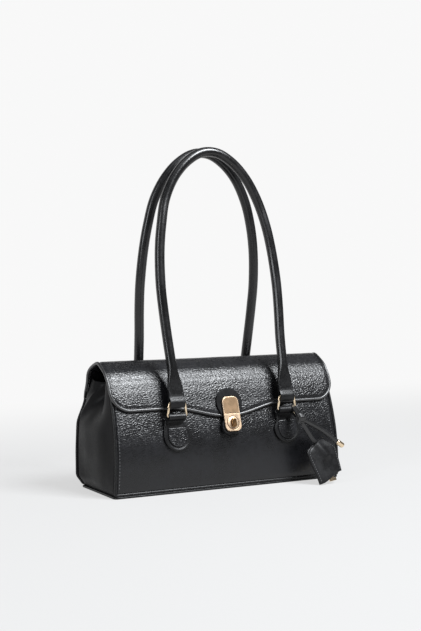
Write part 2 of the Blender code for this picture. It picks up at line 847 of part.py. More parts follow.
def lock_washer():
    """The washer inside the shell that the lock's prongs bend over."""
    height = LOCK_SPLIT_HEIGHT - KNOB_DROP
    outline = rounded_rectangle(LOCK_HALF_WIDTH, -LOCK_HALF_WIDTH, LOCK_HALF_WIDTH, LOCK_CORNER)
    obj = plate("lock_washer", outline, WASHER_THICKNESS, pale_gold())
    lean = math.atan2(
        front_y(height + LOCK_HALF_WIDTH) - front_y(height - LOCK_HALF_WIDTH), 2 * LOCK_HALF_WIDTH
    )
    turn = Matrix.Rotation(math.pi / 2 - lean, 4, "X")
    y = front_y(height) + LEATHER + WASHER_THICKNESS / 2 + 2 * SEAM_GAP
    obj.matrix_world = Matrix.Translation((0.0, y, height)) @ turn
    return obj


# Rings, tabs and handles


def bar_out():
    """How far a ring's bar lies off the face behind it."""
    return RING_WIRE + RING_PLAY + STRAP + SEAM_GAP


def low_bar(face):
    """The Y of a ring's low bar, off the front panel or the back one."""
    y = face(RING_LOW_HEIGHT)
    stand = FRONT_RING_STAND if y < 0 else 0.0
    return y + math.copysign(bar_out() + TAB_PATCH / 2 + stand, y)


def high_bar(face):
    """The Y of a ring's high bar, off the flap's front or its back."""
    low = low_bar(face)
    return low + math.copysign(TAB_PATCH / 4, low)


def ring(name, x, face):
    """A wire ring with straight bars top and bottom and bowed sides."""
    low = low_bar(face)
    high = high_bar(face)
    rise = RING_HIGH_HEIGHT - RING_LOW_HEIGHT
    outline = rounded_rectangle(RING_HALF_WIDTH, 0.0, rise, RING_CORNER, 4)
    points = []
    for across, up in outline:
        share = up / rise
        bow = math.copysign(RING_BOW * math.sin(math.pi * share), across)
        points.append((x + across + bow, low + (high - low) * share, RING_LOW_HEIGHT + up))
    return tube(name, points, RING_WIRE, pale_gold(), closed=True)


def strap_loop(name, x_low, x_high, bar, ends, finish):
    """A strap folded round a ring's bar: a ring of leather, with a tongue that leaves it.

    ends are the two corners of the tongue's tip, in Y and Z from the bar, clockwise one first.
    """
    outer = RING_WIRE + RING_PLAY + STRAP
    tip = (Vector(ends[0]) + Vector(ends[1])) / 2
    start = math.degrees(math.atan2(tip.x, -tip.y))
    outline = arc((0.0, 0.0), outer, start, start + 180, 14)
    outline += [tuple(ends[0]), tuple(ends[1])]
    width = x_high - x_low
    solid = plate(name, outline, width, finish)
    turn = Matrix(((0, 0, 1, 0), (1, 0, 0, 0), (0, 1, 0, 0), (0, 0, 0, 1)))
    middle = Matrix.Translation(((x_low + x_high) / 2, bar[0], bar[1]))
    solid.matrix_world = middle @ turn
    made = as_mesh(solid)
    bore = cylinder(
        name + "_bore",
        RING_WIRE + RING_PLAY,
        width + OVERRUN,
        middle @ Matrix.Rotation(math.pi / 2, 4, "Y"),
        None,
        sides=16,
        collection=CUTTERS,
    )
    return boolean(made, bore, "DIFFERENCE")


def ring_tab(name, x, face, right_cut=0.0):
    """The leather tab that holds a ring: a neck folded round the bar, and a round patch."""
    bar = (low_bar(face), RING_LOW_HEIGHT)
    outward = math.copysign(1.0, bar[0])
    top = RING_LOW_HEIGHT - (RING_WIRE + RING_PLAY + STRAP) * TAB_DROP_SHARE
    near = face(top) + outward * 2 * SEAM_GAP - bar[0]
    far = near + outward * TAB_PATCH
    ends = sorted((near, far))
    body = strap_loop(
        name,
        x - TAB_LOOP_HALF_WIDTH,
        x + TAB_LOOP_HALF_WIDTH - right_cut,
        bar,
        [(y, top - RING_LOW_HEIGHT) for y in ends],
        smooth_leather(),
    )
    columns = 14
    rows = 8
    neck_top = RING_LOW_HEIGHT - RING_WIRE - RING_PLAY - STRAP / 2

    def place(u, v):
        angle = math.pi * v
        z = TAB_ROUND_HEIGHT - TAB_ROUND_RADIUS * math.cos(angle)
        half = TAB_ROUND_RADIUS * math.sin(angle)
        if z > TAB_ROUND_HEIGHT:
            share = 2 * v - 1
            z = TAB_ROUND_HEIGHT + (neck_top - TAB_ROUND_HEIGHT) * share
            half = TAB_ROUND_RADIUS + (TAB_LOOP_HALF_WIDTH - TAB_ROUND_RADIUS) * share**TAB_TAPER_SHARE
        half = max(half, TAB_PATCH)
        across = -outward * half * (1 - 2 * u)
        neck = smoothstep((z - TAB_ROUND_HEIGHT) / (neck_top - TAB_ROUND_HEIGHT) * TAB_NECK_SHARE)
        across = min(across, half - right_cut * neck)
        return x + across, face(z) + outward * (2 * SEAM_GAP + TAB_PATCH), z

    patch = sheet(name + "_patch", columns, rows, place, TAB_PATCH, None)
    PARTS.objects.unlink(patch)
    CUTTERS.objects.link(patch)
    return boolean(body, patch, "UNION")


HANDLE_SHARES = (
    (0.940, 0.037),
    (0.965, 0.196),
    (0.990, 0.326),
    (0.998, 0.432),
    (0.965, 0.576),
    (0.900, 0.687),
    (0.795, 0.793),
    (0.610, 0.889),
    (0.375, 0.957),
    (0.130, 0.993),
)
FRONT_SWAY_SHARES = (0.05, 0.10, 0.31, 0.44, 0.545, 0.68, 0.775, 0.89, 0.95, 0.985, 1.0)
REAR_SWAY_SHARES = (0.06, 0.115, 0.37, 0.54, 0.68, 0.83, 0.895, 0.91, 0.955, 0.985, 1.0)


def handle_points(face, sway, sway_shares):
    """The middle line of a handle, from its right foot over the top to its left foot."""
    base = high_bar(face)
    toward = -math.copysign(1.0, base)
    foot = (RING_PLACE, base + toward * sway * sway_shares[0], HANDLE_FOOT)
    right = [foot]
    climb = HANDLE_TOP - HANDLE_FOOT
    for (across, up), drift in zip(HANDLE_SHARES, sway_shares[1:]):
        right.append((HANDLE_SPREAD * across, base + toward * sway * drift, HANDLE_FOOT + climb * up))
    left = [(-x, y, z) for x, y, z in reversed(right)]
    return smooth_path(right + left, 2)


def handle(name, face, sway, sway_shares):
    """A rolled leather handle."""
    points = handle_points(face, sway, sway_shares)
    return tube(name, points, HANDLE_RADIUS, smooth_leather(), sides=3)


def handle_loop(name, x, face, foot_y):
    """The flat end of a handle, folded round a ring's high bar."""
    bar = (high_bar(face), RING_HIGH_HEIGHT)
    away = Vector((foot_y - bar[0], HANDLE_FOOT - RING_HIGH_HEIGHT - 2 * SEAM_GAP))
    side = Vector((-away.y, away.x)).normalized() * STRAP
    return strap_loop(
        name,
        x - HANDLE_LOOP_HALF_WIDTH,
        x + HANDLE_LOOP_HALF_WIDTH,
        bar,
        (away - side, away + side),
        smooth_leather(),
    )


# Lanyard, bell and key


def charm_places():
    """The middle of the bar that the lanyard hangs on, and the knot's middle."""
    bar = Vector((RING_PLACE + CHARM_SIDE, low_bar(front_y), RING_LOW_HEIGHT))
    knot = bar + Vector((0.0, -CHARM_KNOT_REACH, -CHARM_KNOT_DROP))
    return bar, knot


def frame_along(point, along, across):
    """A frame at a point with its Z along one direction and its X near another."""
    z_axis = Vector(along).normalized()
    y_axis = z_axis.cross(Vector(across)).normalized()
    x_axis = y_axis.cross(z_axis)
    turn = Matrix((x_axis, y_axis, z_axis)).transposed().to_4x4()
    return Matrix.Translation(point) @ turn


def lanyard_knot():
    """The slider that gathers the lanyard."""
    bar, knot = charm_places()
    place = frame_along(knot, bar - knot, (1.0, 0.0, 0.0))
    half = CHARM_KNOT_RADIUS
    obj = box("lanyard_knot", (-half, -half, -half), (half, half, half), smooth_leather())
    obj.matrix_world = place
    rounding = obj.modifiers.new("round", "BEVEL")
    rounding.width = half * KNOT_ROUND_SHARE
    rounding.segments = 3
    return obj


def lanyard_loop():
    """The narrow loop of the lanyard, round the ring's low bar and back to the knot."""
    bar, knot = charm_places()
    radius = RING_WIRE + CHARM_PLAY + CHARM_WIRE
    way = (knot - bar).normalized()
    side = Vector((0.0, -way.z, way.y))
    reach = (knot - bar).length - CHARM_KNOT_RADIUS - SEAM_GAP
    narrow = CHARM_WIRE + SEAM_GAP
    points = [bar + way * reach + side * narrow]
    points.append(bar + way * reach * LOOP_WAIST_SHARE + side * (radius + narrow) / 2)
    for step in range(13):
        angle = math.pi * step / 12
        points.append(bar + side * radius * math.cos(angle) - way * radius * math.sin(angle))
    points.append(bar + way * reach * LOOP_WAIST_SHARE - side * (radius + narrow) / 2)
    points.append(bar + way * reach - side * narrow)
    return tube("lanyard_loop", points, CHARM_WIRE, smooth_leather())


def strand_start(knot, way):
    """Where a strand leaves the knot's rounded block."""
    return knot + Vector(way).normalized() * (CHARM_KNOT_RADIUS * math.sqrt(2) + SEAM_GAP)


def lanyard_tail():
    """The free strand of the lanyard, which ends in a metal cap."""
    knot = charm_places()[1]
    start = strand_start(knot, TAIL_REACH)
    end = knot + Vector(TAIL_REACH)
    middle = start.lerp(end, 0.5) + Vector((0.0, 0.0, TAIL_ARCH))
    return tube("lanyard_tail", smooth_path([start, middle, end], 5), STRAND_RADIUS, smooth_leather())


def tail_cap():
    """The metal cap on the end of the tail."""
    knot = charm_places()[1]
    end = knot + Vector(TAIL_REACH)
    way = (Vector(TAIL_REACH) - Vector((0.0, 0.0, 2 * TAIL_ARCH))).normalized()
    place = frame_along(end + way * (CAP_LENGTH / 2 + SEAM_GAP), way, (0.0, 1.0, 0.0))
    obj = cylinder("tail_cap", CAP_RADIUS, CAP_LENGTH, place, pale_gold(), sides=20)
    rounding = obj.modifiers.new("edges", "BEVEL")
    rounding.width = CAP_RADIUS * CAP_ROUND_SHARE
    rounding.segments = 2
    rounding.limit_method = "ANGLE"
    return obj


def bell_frame():
    """The bell's frame: origin at its top, X across it, Z down it, Y out of its back."""
    knot = charm_places()[1]
    return frame_along(knot + Vector(BELL_TOP_REACH), BELL_WAY, BELL_ACROSS)


def lanyard_drop():
    """The strand that runs from the knot through the top of the bell to the key."""
    knot = charm_places()[1]
    frame = bell_frame()
    top = frame @ Vector((0.0, 0.0, 0.0))
    end = frame @ Vector((0.0, 0.0, BELL_SHOULDER + BELL_TRAVEL / 2))
    start = strand_start(knot, DROP_START)
    lead = frame @ Vector((0.0, 0.0, -BELL_TRAVEL - BELL_STRAND))
    pieces = 4
    curve = smooth_path([start, knot + Vector(DROP_SAG), lead, top], pieces)
    return tube("lanyard_drop", curve[:-pieces] + [top, end], BELL_STRAND, smooth_leather())


def bell_outline():
    """The house shape of the bell, its apex at the top."""
    half = BELL_HALF_WIDTH
    apex = BELL_APEX_HALF_WIDTH
    outline = [(-apex, 0.0), (apex, 0.0)]
    outline += arc((half - apex, BELL_SHOULDER), apex, -50, 0, 3)
    outline += [(half * BELL_FOOT_SHARE, BELL_LENGTH), (-half * BELL_FOOT_SHARE, BELL_LENGTH)]
    outline += arc((apex - half, BELL_SHOULDER), apex, 180, 230, 3)
    return outline


def key_bell():
    """The bell: two leather faces sewn at their edges, open at the foot and bored at the top."""
    frame = bell_frame()
    depth = BELL_MOUTH + 2 * BELL_WALL
    turn = frame @ Matrix(((1, 0, 0, 0), (0, 0, -1, 0), (0, 1, 0, 0), (0, 0, 0, 1)))
    obj = plate("key_bell", bell_outline(), depth, smooth_leather())
    obj.matrix_world = turn
    solid = as_mesh(obj)
    half = BELL_HALF_WIDTH - 2 * BELL_WALL
    foot = half * BELL_FOOT_SHARE
    hollow = plate(
        "bell_hollow",
        [
            (-half / 2, BELL_SHOULDER),
            (half / 2, BELL_SHOULDER),
            (half, 2 * BELL_SHOULDER),
            (foot, BELL_LENGTH + OVERRUN),
            (-foot, BELL_LENGTH + OVERRUN),
            (-half, 2 * BELL_SHOULDER),
        ],
        BELL_MOUTH,
        None,
        collection=CUTTERS,
    )
    hollow.matrix_world = turn
    boolean(solid, as_mesh(hollow), "DIFFERENCE")
    bore = cylinder(
        "bell_bore",
        BELL_STRAND + SEAM_GAP,
        3 * BELL_SHOULDER,
        frame,
        None,
        sides=16,
        collection=CUTTERS,
    )
    return boolean(solid, bore, "DIFFERENCE")


def bell_key():
    """The small key that hangs inside the bell on the end of the strand."""
    frame = bell_frame()
    turn = frame @ Matrix(((1, 0, 0, 0), (0, 0, -1, 0), (0, 1, 0, 0), (0, 0, 0, 1)))
    top = BELL_SHOULDER + BELL_TRAVEL / 2 + SEAM_GAP
    head = top + KEY_HEAD_RADIUS
    blade = KEY_BLADE_HALF_WIDTH
    foot = head + KEY_LENGTH - KEY_HEAD_RADIUS
    outline = arc((0.0, head), KEY_HEAD_RADIUS, 110, 430, 20)
    outline += [
        (blade, foot - 2 * blade),
        (3 * blade, foot - 2 * blade),
        (3 * blade, foot),
        (-blade, foot),
    ]
    obj = plate("bell_key", outline, KEY_THICKNESS, pale_gold())
    obj.matrix_world = turn
    return obj


def build_charm():
    """The lanyard with its knot, tail, cap and key, and the bell that slides on it."""
    lanyard_loop()
    lanyard_knot()
    lanyard_tail()
    tail_cap()
    lanyard_drop()
    key_bell()
    bell_key()


def main():
    clear_scene()
    bpy.context.scene.collection.children.link(PARTS)
    bpy.context.scene.collection.children.link(CUTTERS)
    front_panel()
    back_panel()
    gusset("left_gusset", -1)
    gusset("right_gusset", 1)
    piping("front_piping", front_y, PANEL_HEIGHT, half_length)
    piping("back_piping", back_y, FLAP_HINGE_HEIGHT - SEAM_GAP, rear_half_length)
    base_panel()
    base_board()
    lining()
    inner_pocket()
    flap()
    flap_bead()
    lock_tab()
    lock_upper_plate()
    lock_pad()
    lock_lower_plate()
    turn_knob()
    lock_washer()
    for side_name, side in (("left", -1), ("right", 1)):
        x = side * RING_PLACE
        for row, face, sway, shares in (
            ("front", front_y, FRONT_HANDLE_SWAY, FRONT_SWAY_SHARES),
            ("rear", back_y, REAR_HANDLE_SWAY, REAR_SWAY_SHARES),
        ):
            ring(f"{row}_{side_name}_ring", x, face)
            cut = TAB_LANYARD_CUT if (row, side_name) == ("front", "right") else 0.0
            ring_tab(f"{row}_{side_name}_ring_tab", x, face, cut)
            foot_y = high_bar(face) - math.copysign(sway * shares[0], high_bar(face))
            handle_loop(f"{row}_{side_name}_handle_loop", x, face, foot_y)
    handle("front_handle", front_y, FRONT_HANDLE_SWAY, FRONT_SWAY_SHARES)
    handle("rear_handle", back_y, REAR_HANDLE_SWAY, REAR_SWAY_SHARES)
    build_charm()


main()
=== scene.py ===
"""The looks of a small black leather shoulder bag with a turn lock and two tall handles."""

import json
import logging
import math
from dataclasses import dataclass, field, replace
from enum import Enum
from typing import Callable, Optional, Sequence

import bmesh
import bpy
from bpy.types import Material, Node, NodeSocket, NodeTree, Object
from mathutils import Matrix, Vector, noise

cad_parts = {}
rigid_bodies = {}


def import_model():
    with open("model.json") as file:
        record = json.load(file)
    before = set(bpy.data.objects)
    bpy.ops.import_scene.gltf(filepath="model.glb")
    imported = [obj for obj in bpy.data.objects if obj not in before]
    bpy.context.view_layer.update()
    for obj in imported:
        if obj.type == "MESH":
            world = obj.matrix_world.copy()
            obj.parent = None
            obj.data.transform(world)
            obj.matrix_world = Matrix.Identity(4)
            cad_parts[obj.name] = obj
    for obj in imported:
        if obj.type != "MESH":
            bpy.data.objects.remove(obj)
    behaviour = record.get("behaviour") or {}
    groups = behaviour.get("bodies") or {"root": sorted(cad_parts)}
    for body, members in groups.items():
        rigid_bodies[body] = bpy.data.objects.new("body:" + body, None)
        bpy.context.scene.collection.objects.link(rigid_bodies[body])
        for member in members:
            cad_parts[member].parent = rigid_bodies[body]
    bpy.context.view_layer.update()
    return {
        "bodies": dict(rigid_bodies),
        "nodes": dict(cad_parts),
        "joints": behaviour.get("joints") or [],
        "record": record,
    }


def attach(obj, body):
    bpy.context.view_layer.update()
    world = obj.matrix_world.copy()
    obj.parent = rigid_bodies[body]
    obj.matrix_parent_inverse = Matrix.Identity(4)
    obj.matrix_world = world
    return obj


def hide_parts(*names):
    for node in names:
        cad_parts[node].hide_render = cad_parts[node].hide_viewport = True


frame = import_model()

LOG = logging.getLogger("shoulder_bag")
Point = tuple[float, float, float]
Outline = list[tuple[float, float]]
Place = Callable[[float, float], Sequence[float]]
Section = Callable[[float, float], tuple[float, float]]

STITCH = (0.00075, 0.00055)
"""A stitch's width and height, in metres."""


class Finish(Enum):
    """The record's material slots."""

    GRAINED = "grained_leather"
    SMOOTH = "smooth_leather"
    LINING = "lining_cloth"
    PALE_GOLD = "pale_gold"
    BRUSHED_GOLD = "brushed_gold"
    BRONZE = "dark_bronze"
    BOARD = "stiff_board"


class Body(Enum):
    """The bodies that pieces ride on."""

    SHELL = "shell"
    FLAP = "flap"
    KNOB = "knob"
    FRONT_RINGS = "front_rings"
    FRONT_HANDLE = "front_handle"
    REAR_RINGS = "rear_rings"
    REAR_HANDLE = "rear_handle"
    CHARM = "charm"
    BELL = "bell"


# Numbers and curves


def smoothstep(value: float) -> float:
    """0 below 0, 1 above 1, and a smooth rise between them."""
    held = min(max(value, 0.0), 1.0)
    return held * held * (3.0 - 2.0 * held)


def bent(value: float, power: float) -> float:
    """A power of a value, with the value's own sign."""
    return math.copysign(abs(value) ** power, value)


def hill(value: float, middle: float, width: float) -> float:
    """A bell curve that is 1 at its middle."""
    return math.exp(-(((value - middle) / width) ** 2))


def arc(centre: tuple[float, float], radius: float, start: float, stop: float, count: int) -> Outline:
    """Points along an arc.

    Args:
        centre: The arc's centre in its own plane.
        radius: Its radius in metres.
        start: The first angle in degrees.
        stop: The last angle in degrees.
        count: How many steps it takes.

    Returns:
        The points, from the first angle to the last.
    """
    points = []
    for step in range(count + 1):
        angle = math.radians(start + (stop - start) * step / count)
        points.append((centre[0] + radius * math.cos(angle), centre[1] + radius * math.sin(angle)))
    return points


def rounded_rectangle(half: float, low: float, high: float, corner: float, foot: float, count: int = 8) -> Outline:
    """A rectangle with one radius at its upper corners and another at its lower ones.

    Args:
        half: Half its width.
        low: The height of its lower edge.
        high: The height of its upper edge.
        corner: The radius of the upper corners.
        foot: The radius of the lower corners.
        count: Steps in each corner.

    Returns:
        The outline, counter-clockwise from its lower right corner.
    """
    points = arc((half - foot, low + foot), foot, -90, 0, count)
    points += arc((half - corner, high - corner), corner, 0, 90, count)
    points += arc((corner - half, high - corner), corner, 90, 180, count)
    points += arc((foot - half, low + foot), foot, 180, 270, count)
    return points


def path_length(path: Sequence[Vector]) -> float:
    """The length of a path."""
    return sum((after - before).length for before, after in zip(path, path[1:]))


def smooth_path(points: Sequence[Sequence[float]], pieces: int) -> list[Vector]:
    """A centripetal curve through points.

    Args:
        points: The points that the curve passes.
        pieces: How many stretches it has from each point to the next.

    Returns:
        The points of the finer curve.
    """
    marks = [Vector(point) for point in points]
    ends = [2 * marks[0] - marks[1]] + marks + [2 * marks[-1] - marks[-2]]
    path = []
    for before, start, stop, after in zip(ends, ends[1:], ends[2:], ends[3:]):
        first = (start - before).length ** 0.5
        middle = first + (stop - start).length ** 0.5
        last = middle + (after - stop).length ** 0.5
        for step in range(pieces):
            at = first + (middle - first) * step / pieces
            low = before.lerp(start, at / first)
            centre = start.lerp(stop, (at - first) / (middle - first))
            high = stop.lerp(after, (at - middle) / (last - middle))
            left = low.lerp(centre, at / middle)
            right = centre.lerp(high, (at - first) / (last - first))
            path.append(left.lerp(right, (at - first) / (middle - first)))
    return path + [marks[-1]]


def evenly(path: Sequence[Vector], spacing: float) -> list[Vector]:
    """Points a fixed distance apart along a path.

    Args:
        path: The path.
        spacing: The distance between points, in metres.

    Returns:
        The points, with the path's two ends among them.
    """
    lengths = [0.0]
    for start, stop in zip(path, path[1:]):
        lengths.append(lengths[-1] + (stop - start).length)
    count = max(2, round(lengths[-1] / spacing))
    found = []
    index = 0
    for step in range(count + 1):
        at = lengths[-1] * step / count
        while index < len(path) - 2 and lengths[index + 1] < at:
            index += 1
        share = (at - lengths[index]) / max(lengths[index + 1] - lengths[index], 1e-9)
        found.append(path[index].lerp(path[index + 1], min(max(share, 0.0), 1.0)))
    return found


def drift(point: Sequence[float], size: float, seed: float) -> float:
    """Smooth noise from -1 to 1, with hills of about this size."""
    return noise.noise(Vector(point) / size + Vector((seed, 2 * seed, -seed)))


FRONT_ARCH = ((0.0, 0.0), (0.10, 0.25), (0.19, 0.385), (0.29, 0.535), (0.41, 0.665), (0.58, 0.785), (0.76, 0.90))
BACK_ARCH = ((0.42, 0.83), (0.64, 0.66), (0.75, 0.47), (0.79, 0.22), (0.86, -0.02))


@dataclass(frozen=True)
class BagForm:
    """The side profile and the edges of the bag, in metres."""

    base_half_length: float = 0.1475
    top_half_length: float = 0.1435
    base_half_depth: float = 0.0455
    panel_height: float = 0.1260
    front_lean: float = 0.0250
    front_power: float = 2.0
    front_belly: float = 0.0035
    back_lean: float = 0.0055
    back_belly: float = 0.0060
    leather: float = 0.0018
    base_thickness: float = 0.0024
    piping: float = 0.0015
    gap: float = 0.0003
    gusset_bulge: float = 0.0060
    gusset_fold: float = 0.0170
    gusset_fold_start: float = 0.0660
    gusset_dip: float = 0.0040
    gusset_top_inset: float = 0.0120
    gusset_fold_share: float = 0.19
    gusset_swell_share: float = 0.90
    rear_swell: float = 0.0068
    rear_foot: float = 0.0030
    rear_rise: float = 0.0130
    rear_top: float = 0.0720
    rear_fall: float = 0.0300
    back_drop: float = 0.0060
    flap_half_length: float = 0.1430
    flap_thickness: float = 0.0028
    flap_clearance: float = 0.0007
    flap_height: float = 0.1464
    ridge: float = 0.0040
    flap_edge: float = 0.0965
    flap_dip: float = 0.0120
    flap_dip_reach: float = 0.0750
    flap_corner: float = 0.0200
    hinge: float = 0.1018
    shoulder: float = 0.1165
    flap_swell: float = 0.0010
    flap_waist: float = 0.0018
    bead: float = 0.0013

    def half_length(self, z: float) -> float:
        """Half the body's length at a height."""
        return self.base_half_length + (self.top_half_length - self.base_half_length) * z / self.panel_height

    def front(self, z: float) -> float:
        """The Y of the front panel's outer face.

        Args:
            z: The height.

        Returns:
            The Y.
        """
        share = max(z / self.panel_height, 0.0)
        belly = self.front_belly * math.sin(math.pi * share)
        return self.front_lean * share**self.front_power - self.base_half_depth - belly

    def back(self, z: float) -> float:
        """The Y of the back panel's outer face."""
        share = z / self.panel_height
        return self.base_half_depth + self.back_belly * math.sin(math.pi * share) - self.back_lean * share**2

    def rear_half_length(self, z: float) -> float:
        """Half the body's length along its back, which swells between the base and the flap.

        Args:
            z: The height.

        Returns:
            The half length.
        """
        rise = smoothstep((z - self.rear_foot) / self.rear_rise)
        fall = smoothstep((z - self.rear_top) / self.rear_fall)
        return self.half_length(z) + self.rear_swell * rise * (1 - fall)

    def inner_back(self, z: float) -> float:
        """The back of what lies inside the flap.

        Args:
            z: The height.

        Returns:
            The Y.
        """
        start = self.hinge - self.back_drop
        rise = smoothstep((z - start) / (self.panel_height - start))
        return self.back(z) - self.gusset_top_inset * rise

    def gusset(self, share: float, z: float) -> float:
        """How far a gusset stands out at a share of its depth and a height.

        Args:
            share: The share of the gusset's depth, from its front.
            z: The height.

        Returns:
            The distance from the bag's middle.
        """
        height_share = min(z / self.panel_height, self.gusset_swell_share)
        swell = self.gusset_bulge * math.sin(math.pi * share) * math.sin(math.pi * height_share)
        rise = smoothstep((z - self.gusset_fold_start) / (self.panel_height - self.gusset_fold_start))
        fold = self.gusset_fold * rise * hill(share, 0.5, self.gusset_fold_share)
        rear = (self.rear_half_length(z) - self.half_length(z)) * share**2
        return self.half_length(z) - self.piping + swell - fold + rear

    def flap_low(self, x: float) -> float:
        """The height of the flap's lower edge.

        Args:
            x: The place along the flap.

        Returns:
            The height.
        """
        reach = abs(x) / self.flap_dip_reach
        dip = self.flap_dip * 0.5 * (1 + math.cos(math.pi * reach)) if reach < 1 else 0.0
        past = abs(x) - (self.flap_half_length - self.flap_corner)
        rise = self.flap_corner - math.sqrt(max(self.flap_corner**2 - past**2, 0.0)) if past > 0 else 0.0
        return self.flap_edge - dip + rise

    def flap_front(self, z: float) -> float:
        """The Y of the flap's outer face on its front."""
        swell = self.flap_swell * smoothstep((z - self.flap_edge) / (self.shoulder - self.flap_edge))
        return self.front(z) - self.flap_clearance - self.flap_thickness - swell

    def flap_arch(self, pieces: int) -> list[Vector]:
        """The flap's outer profile from its front shoulder over the ridge to its hinge.

        Args:
            pieces: How many stretches it has from each of its marks to the next.

        Returns:
            The profile's points.
        """
        over = self.flap_height - self.shoulder
        front = self.flap_front(self.shoulder)
        back = self.back(self.shoulder)
        points = []
        for a, b in FRONT_ARCH:
            points.append((0.0, front + (self.ridge - front) * a, self.shoulder + over * b))
        points.append((0.0, self.ridge, self.flap_height))
        for a, b in BACK_ARCH:
            points.append((0.0, self.ridge + (back - self.ridge) * a, self.shoulder + over * b))
        middle = (self.shoulder + self.hinge) / 2
        points.append((0.0, self.back(middle) - self.flap_waist, middle))
        points.append((0.0, self.back(self.hinge), self.hinge + self.flap_thickness / 2))
        points.append((0.0, self.back(self.hinge), self.hinge))
        return smooth_path(points, pieces)


FORM = BagForm()

HANDLE_ARCH = (
    (0.940, 0.037),
    (0.965, 0.196),
    (0.990, 0.326),
    (0.998, 0.432),
    (0.965, 0.576),
    (0.900, 0.687),
    (0.795, 0.793),
    (0.610, 0.889),
    (0.375, 0.957),
    (0.130, 0.993),
)
"""The right half of a handle: shares of its half spread and of its height."""

FRONT_LEAN = (0.05, 0.10, 0.31, 0.44, 0.545, 0.68, 0.775, 0.89, 0.95, 0.985, 1.0)
REAR_LEAN = (0.06, 0.115, 0.37, 0.54, 0.68, 0.83, 0.895, 0.91, 0.955, 0.985, 1.0)
"""Shares of a handle's sway inwards, at its foot and at each point of its arch."""


# The bench: how pieces are made


def deselect() -> None:
    """Let go of everything, so that an operator acts on the new piece alone."""
    for obj in bpy.context.selected_objects:
        obj.select_set(False)


def hold(obj: Object) -> None:
    """Select one piece alone and make it active.

    Args:
        obj: The piece.
    """
    deselect()
    obj.select_set(True)
    bpy.context.view_layer.objects.active = obj


def named(obj: Object, name: str) -> Object:
    """Give a piece and its mesh one name.

    Args:
        obj: The piece.
        name: The name.

    Returns:
        The piece.
    """
    obj.name = name
    obj.data.name = name
    return obj


def apply_step(obj: Object, kind: str, **values: object) -> None:
    """Add a modifier to a piece and apply it.

    Args:
        obj: The piece.
        kind: The modifier's type.
        values: Its settings.
    """
    hold(obj)
    step = obj.modifiers.new(kind.lower(), kind)
    for name, value in values.items():
        setattr(step, name, value)
    bpy.ops.object.modifier_apply(modifier=step.name)


def in_edit(obj: Object, *actions: Callable[[], object]) -> None:
    """Run edit-mode operators on all of a piece.

    Args:
        obj: The piece.
        actions: What to run, one after the other, from a selection of everything in it.
    """
    hold(obj)
    bpy.ops.object.mode_set(mode="EDIT")
    bpy.ops.mesh.select_all(action="SELECT")
    for action in actions:
        action()
    bpy.ops.object.mode_set(mode="OBJECT")


def merge(distance: float = 0.000005) -> None:
    """In edit mode, merge the selected points that lie closer than a distance."""
    bpy.ops.mesh.remove_doubles(threshold=distance)


def turn_outwards() -> None:
    """In edit mode, turn the faces of a closed piece outwards."""
    bpy.ops.mesh.normals_make_consistent(inside=False)


def smooth(obj: Object, angle: float = 35.0) -> Object:
    """Shade a piece smooth where its faces meet at less than an angle in degrees.

    Args:
        obj: The piece.
        angle: The least angle that stays sharp.

    Returns:
        The piece.
    """
    hold(obj)
    bpy.ops.object.shade_smooth_by_angle(angle=math.radians(angle))
    return obj


def round_edges(obj: Object, width: float, segments: int = 3, limit: float = 50.0, shade: float = 35.0) -> Object:
    """Bevel the sharp edges of a piece.

    Args:
        obj: The piece.
        width: The width of the rounded edges.
        segments: Steps in each of them.
        limit: The least angle of an edge that is rounded, in degrees.
        shade: The angle up to which the piece is shaded smooth, in degrees.

    Returns:
        The piece.
    """
    apply_step(obj, "BEVEL", width=width, segments=segments, limit_method="ANGLE", angle_limit=math.radians(limit))
    return smooth(obj, shade)


def settle(obj: Object, angle: float = 50.0) -> Object:
    """Merge a piece's doubles, turn its faces outwards and shade it smooth up to an angle."""
    in_edit(obj, merge, turn_outwards)
    return smooth(obj, angle)


def face_away(obj: Object, inside: Vector) -> None:
    """Turn an open sheet's faces away from a point on its inner side."""
    if sum(face.normal.dot(face.center - inside) * face.area for face in obj.data.polygons) < 0:
        in_edit(obj, bpy.ops.mesh.flip_normals)


def wall(obj: Object, thickness: float, inside: Vector, edge: float, segments: int = 3, even: bool = True) -> Object:
    """Give a sheet its wall and round its cut edges.

    Args:
        obj: The sheet, which is the wall's outer face.
        thickness: The wall's thickness.
        inside: A point on the inner side of the sheet.
        edge: The rounding of the cut edges.
        segments: Steps in that rounding.
        even: Whether the wall keeps its thickness at sharp turns.

    Returns:
        The piece.
    """
    face_away(obj, inside)
    apply_step(obj, "SOLIDIFY", thickness=thickness, offset=-1.0, use_even_offset=even)
    return round_edges(obj, edge, segments, 60.0, 60.0)


def place_mesh(obj: Object, matrix: Matrix) -> Object:
    """Put a piece's mesh in its place, with the object left at the origin.

    Args:
        obj: The piece.
        matrix: Its place.

    Returns:
        The piece.
    """
    obj.data.transform(matrix)
    obj.matrix_world = Matrix.Identity(4)
    return obj


def grid(name: str, columns: int, rows: int, place: Place) -> Object:
    """A grid primitive whose points are shaped one by one, with its UV map in shares of the sides.

    Args:
        name: The piece's name.
        columns: Faces along u.
        rows: Faces along v.
        place: Gives the place of a point from its u and v, each from 0 to 1.

    Returns:
        The piece.
    """
    deselect()
    bpy.ops.mesh.primitive_grid_add(x_subdivisions=columns, y_subdivisions=rows, size=1.0, calc_uvs=True)
    obj = named(bpy.context.object, name)
    for vertex in obj.data.vertices:
        vertex.co = Vector(place(vertex.co.x + 0.5, vertex.co.y + 0.5))
    return obj


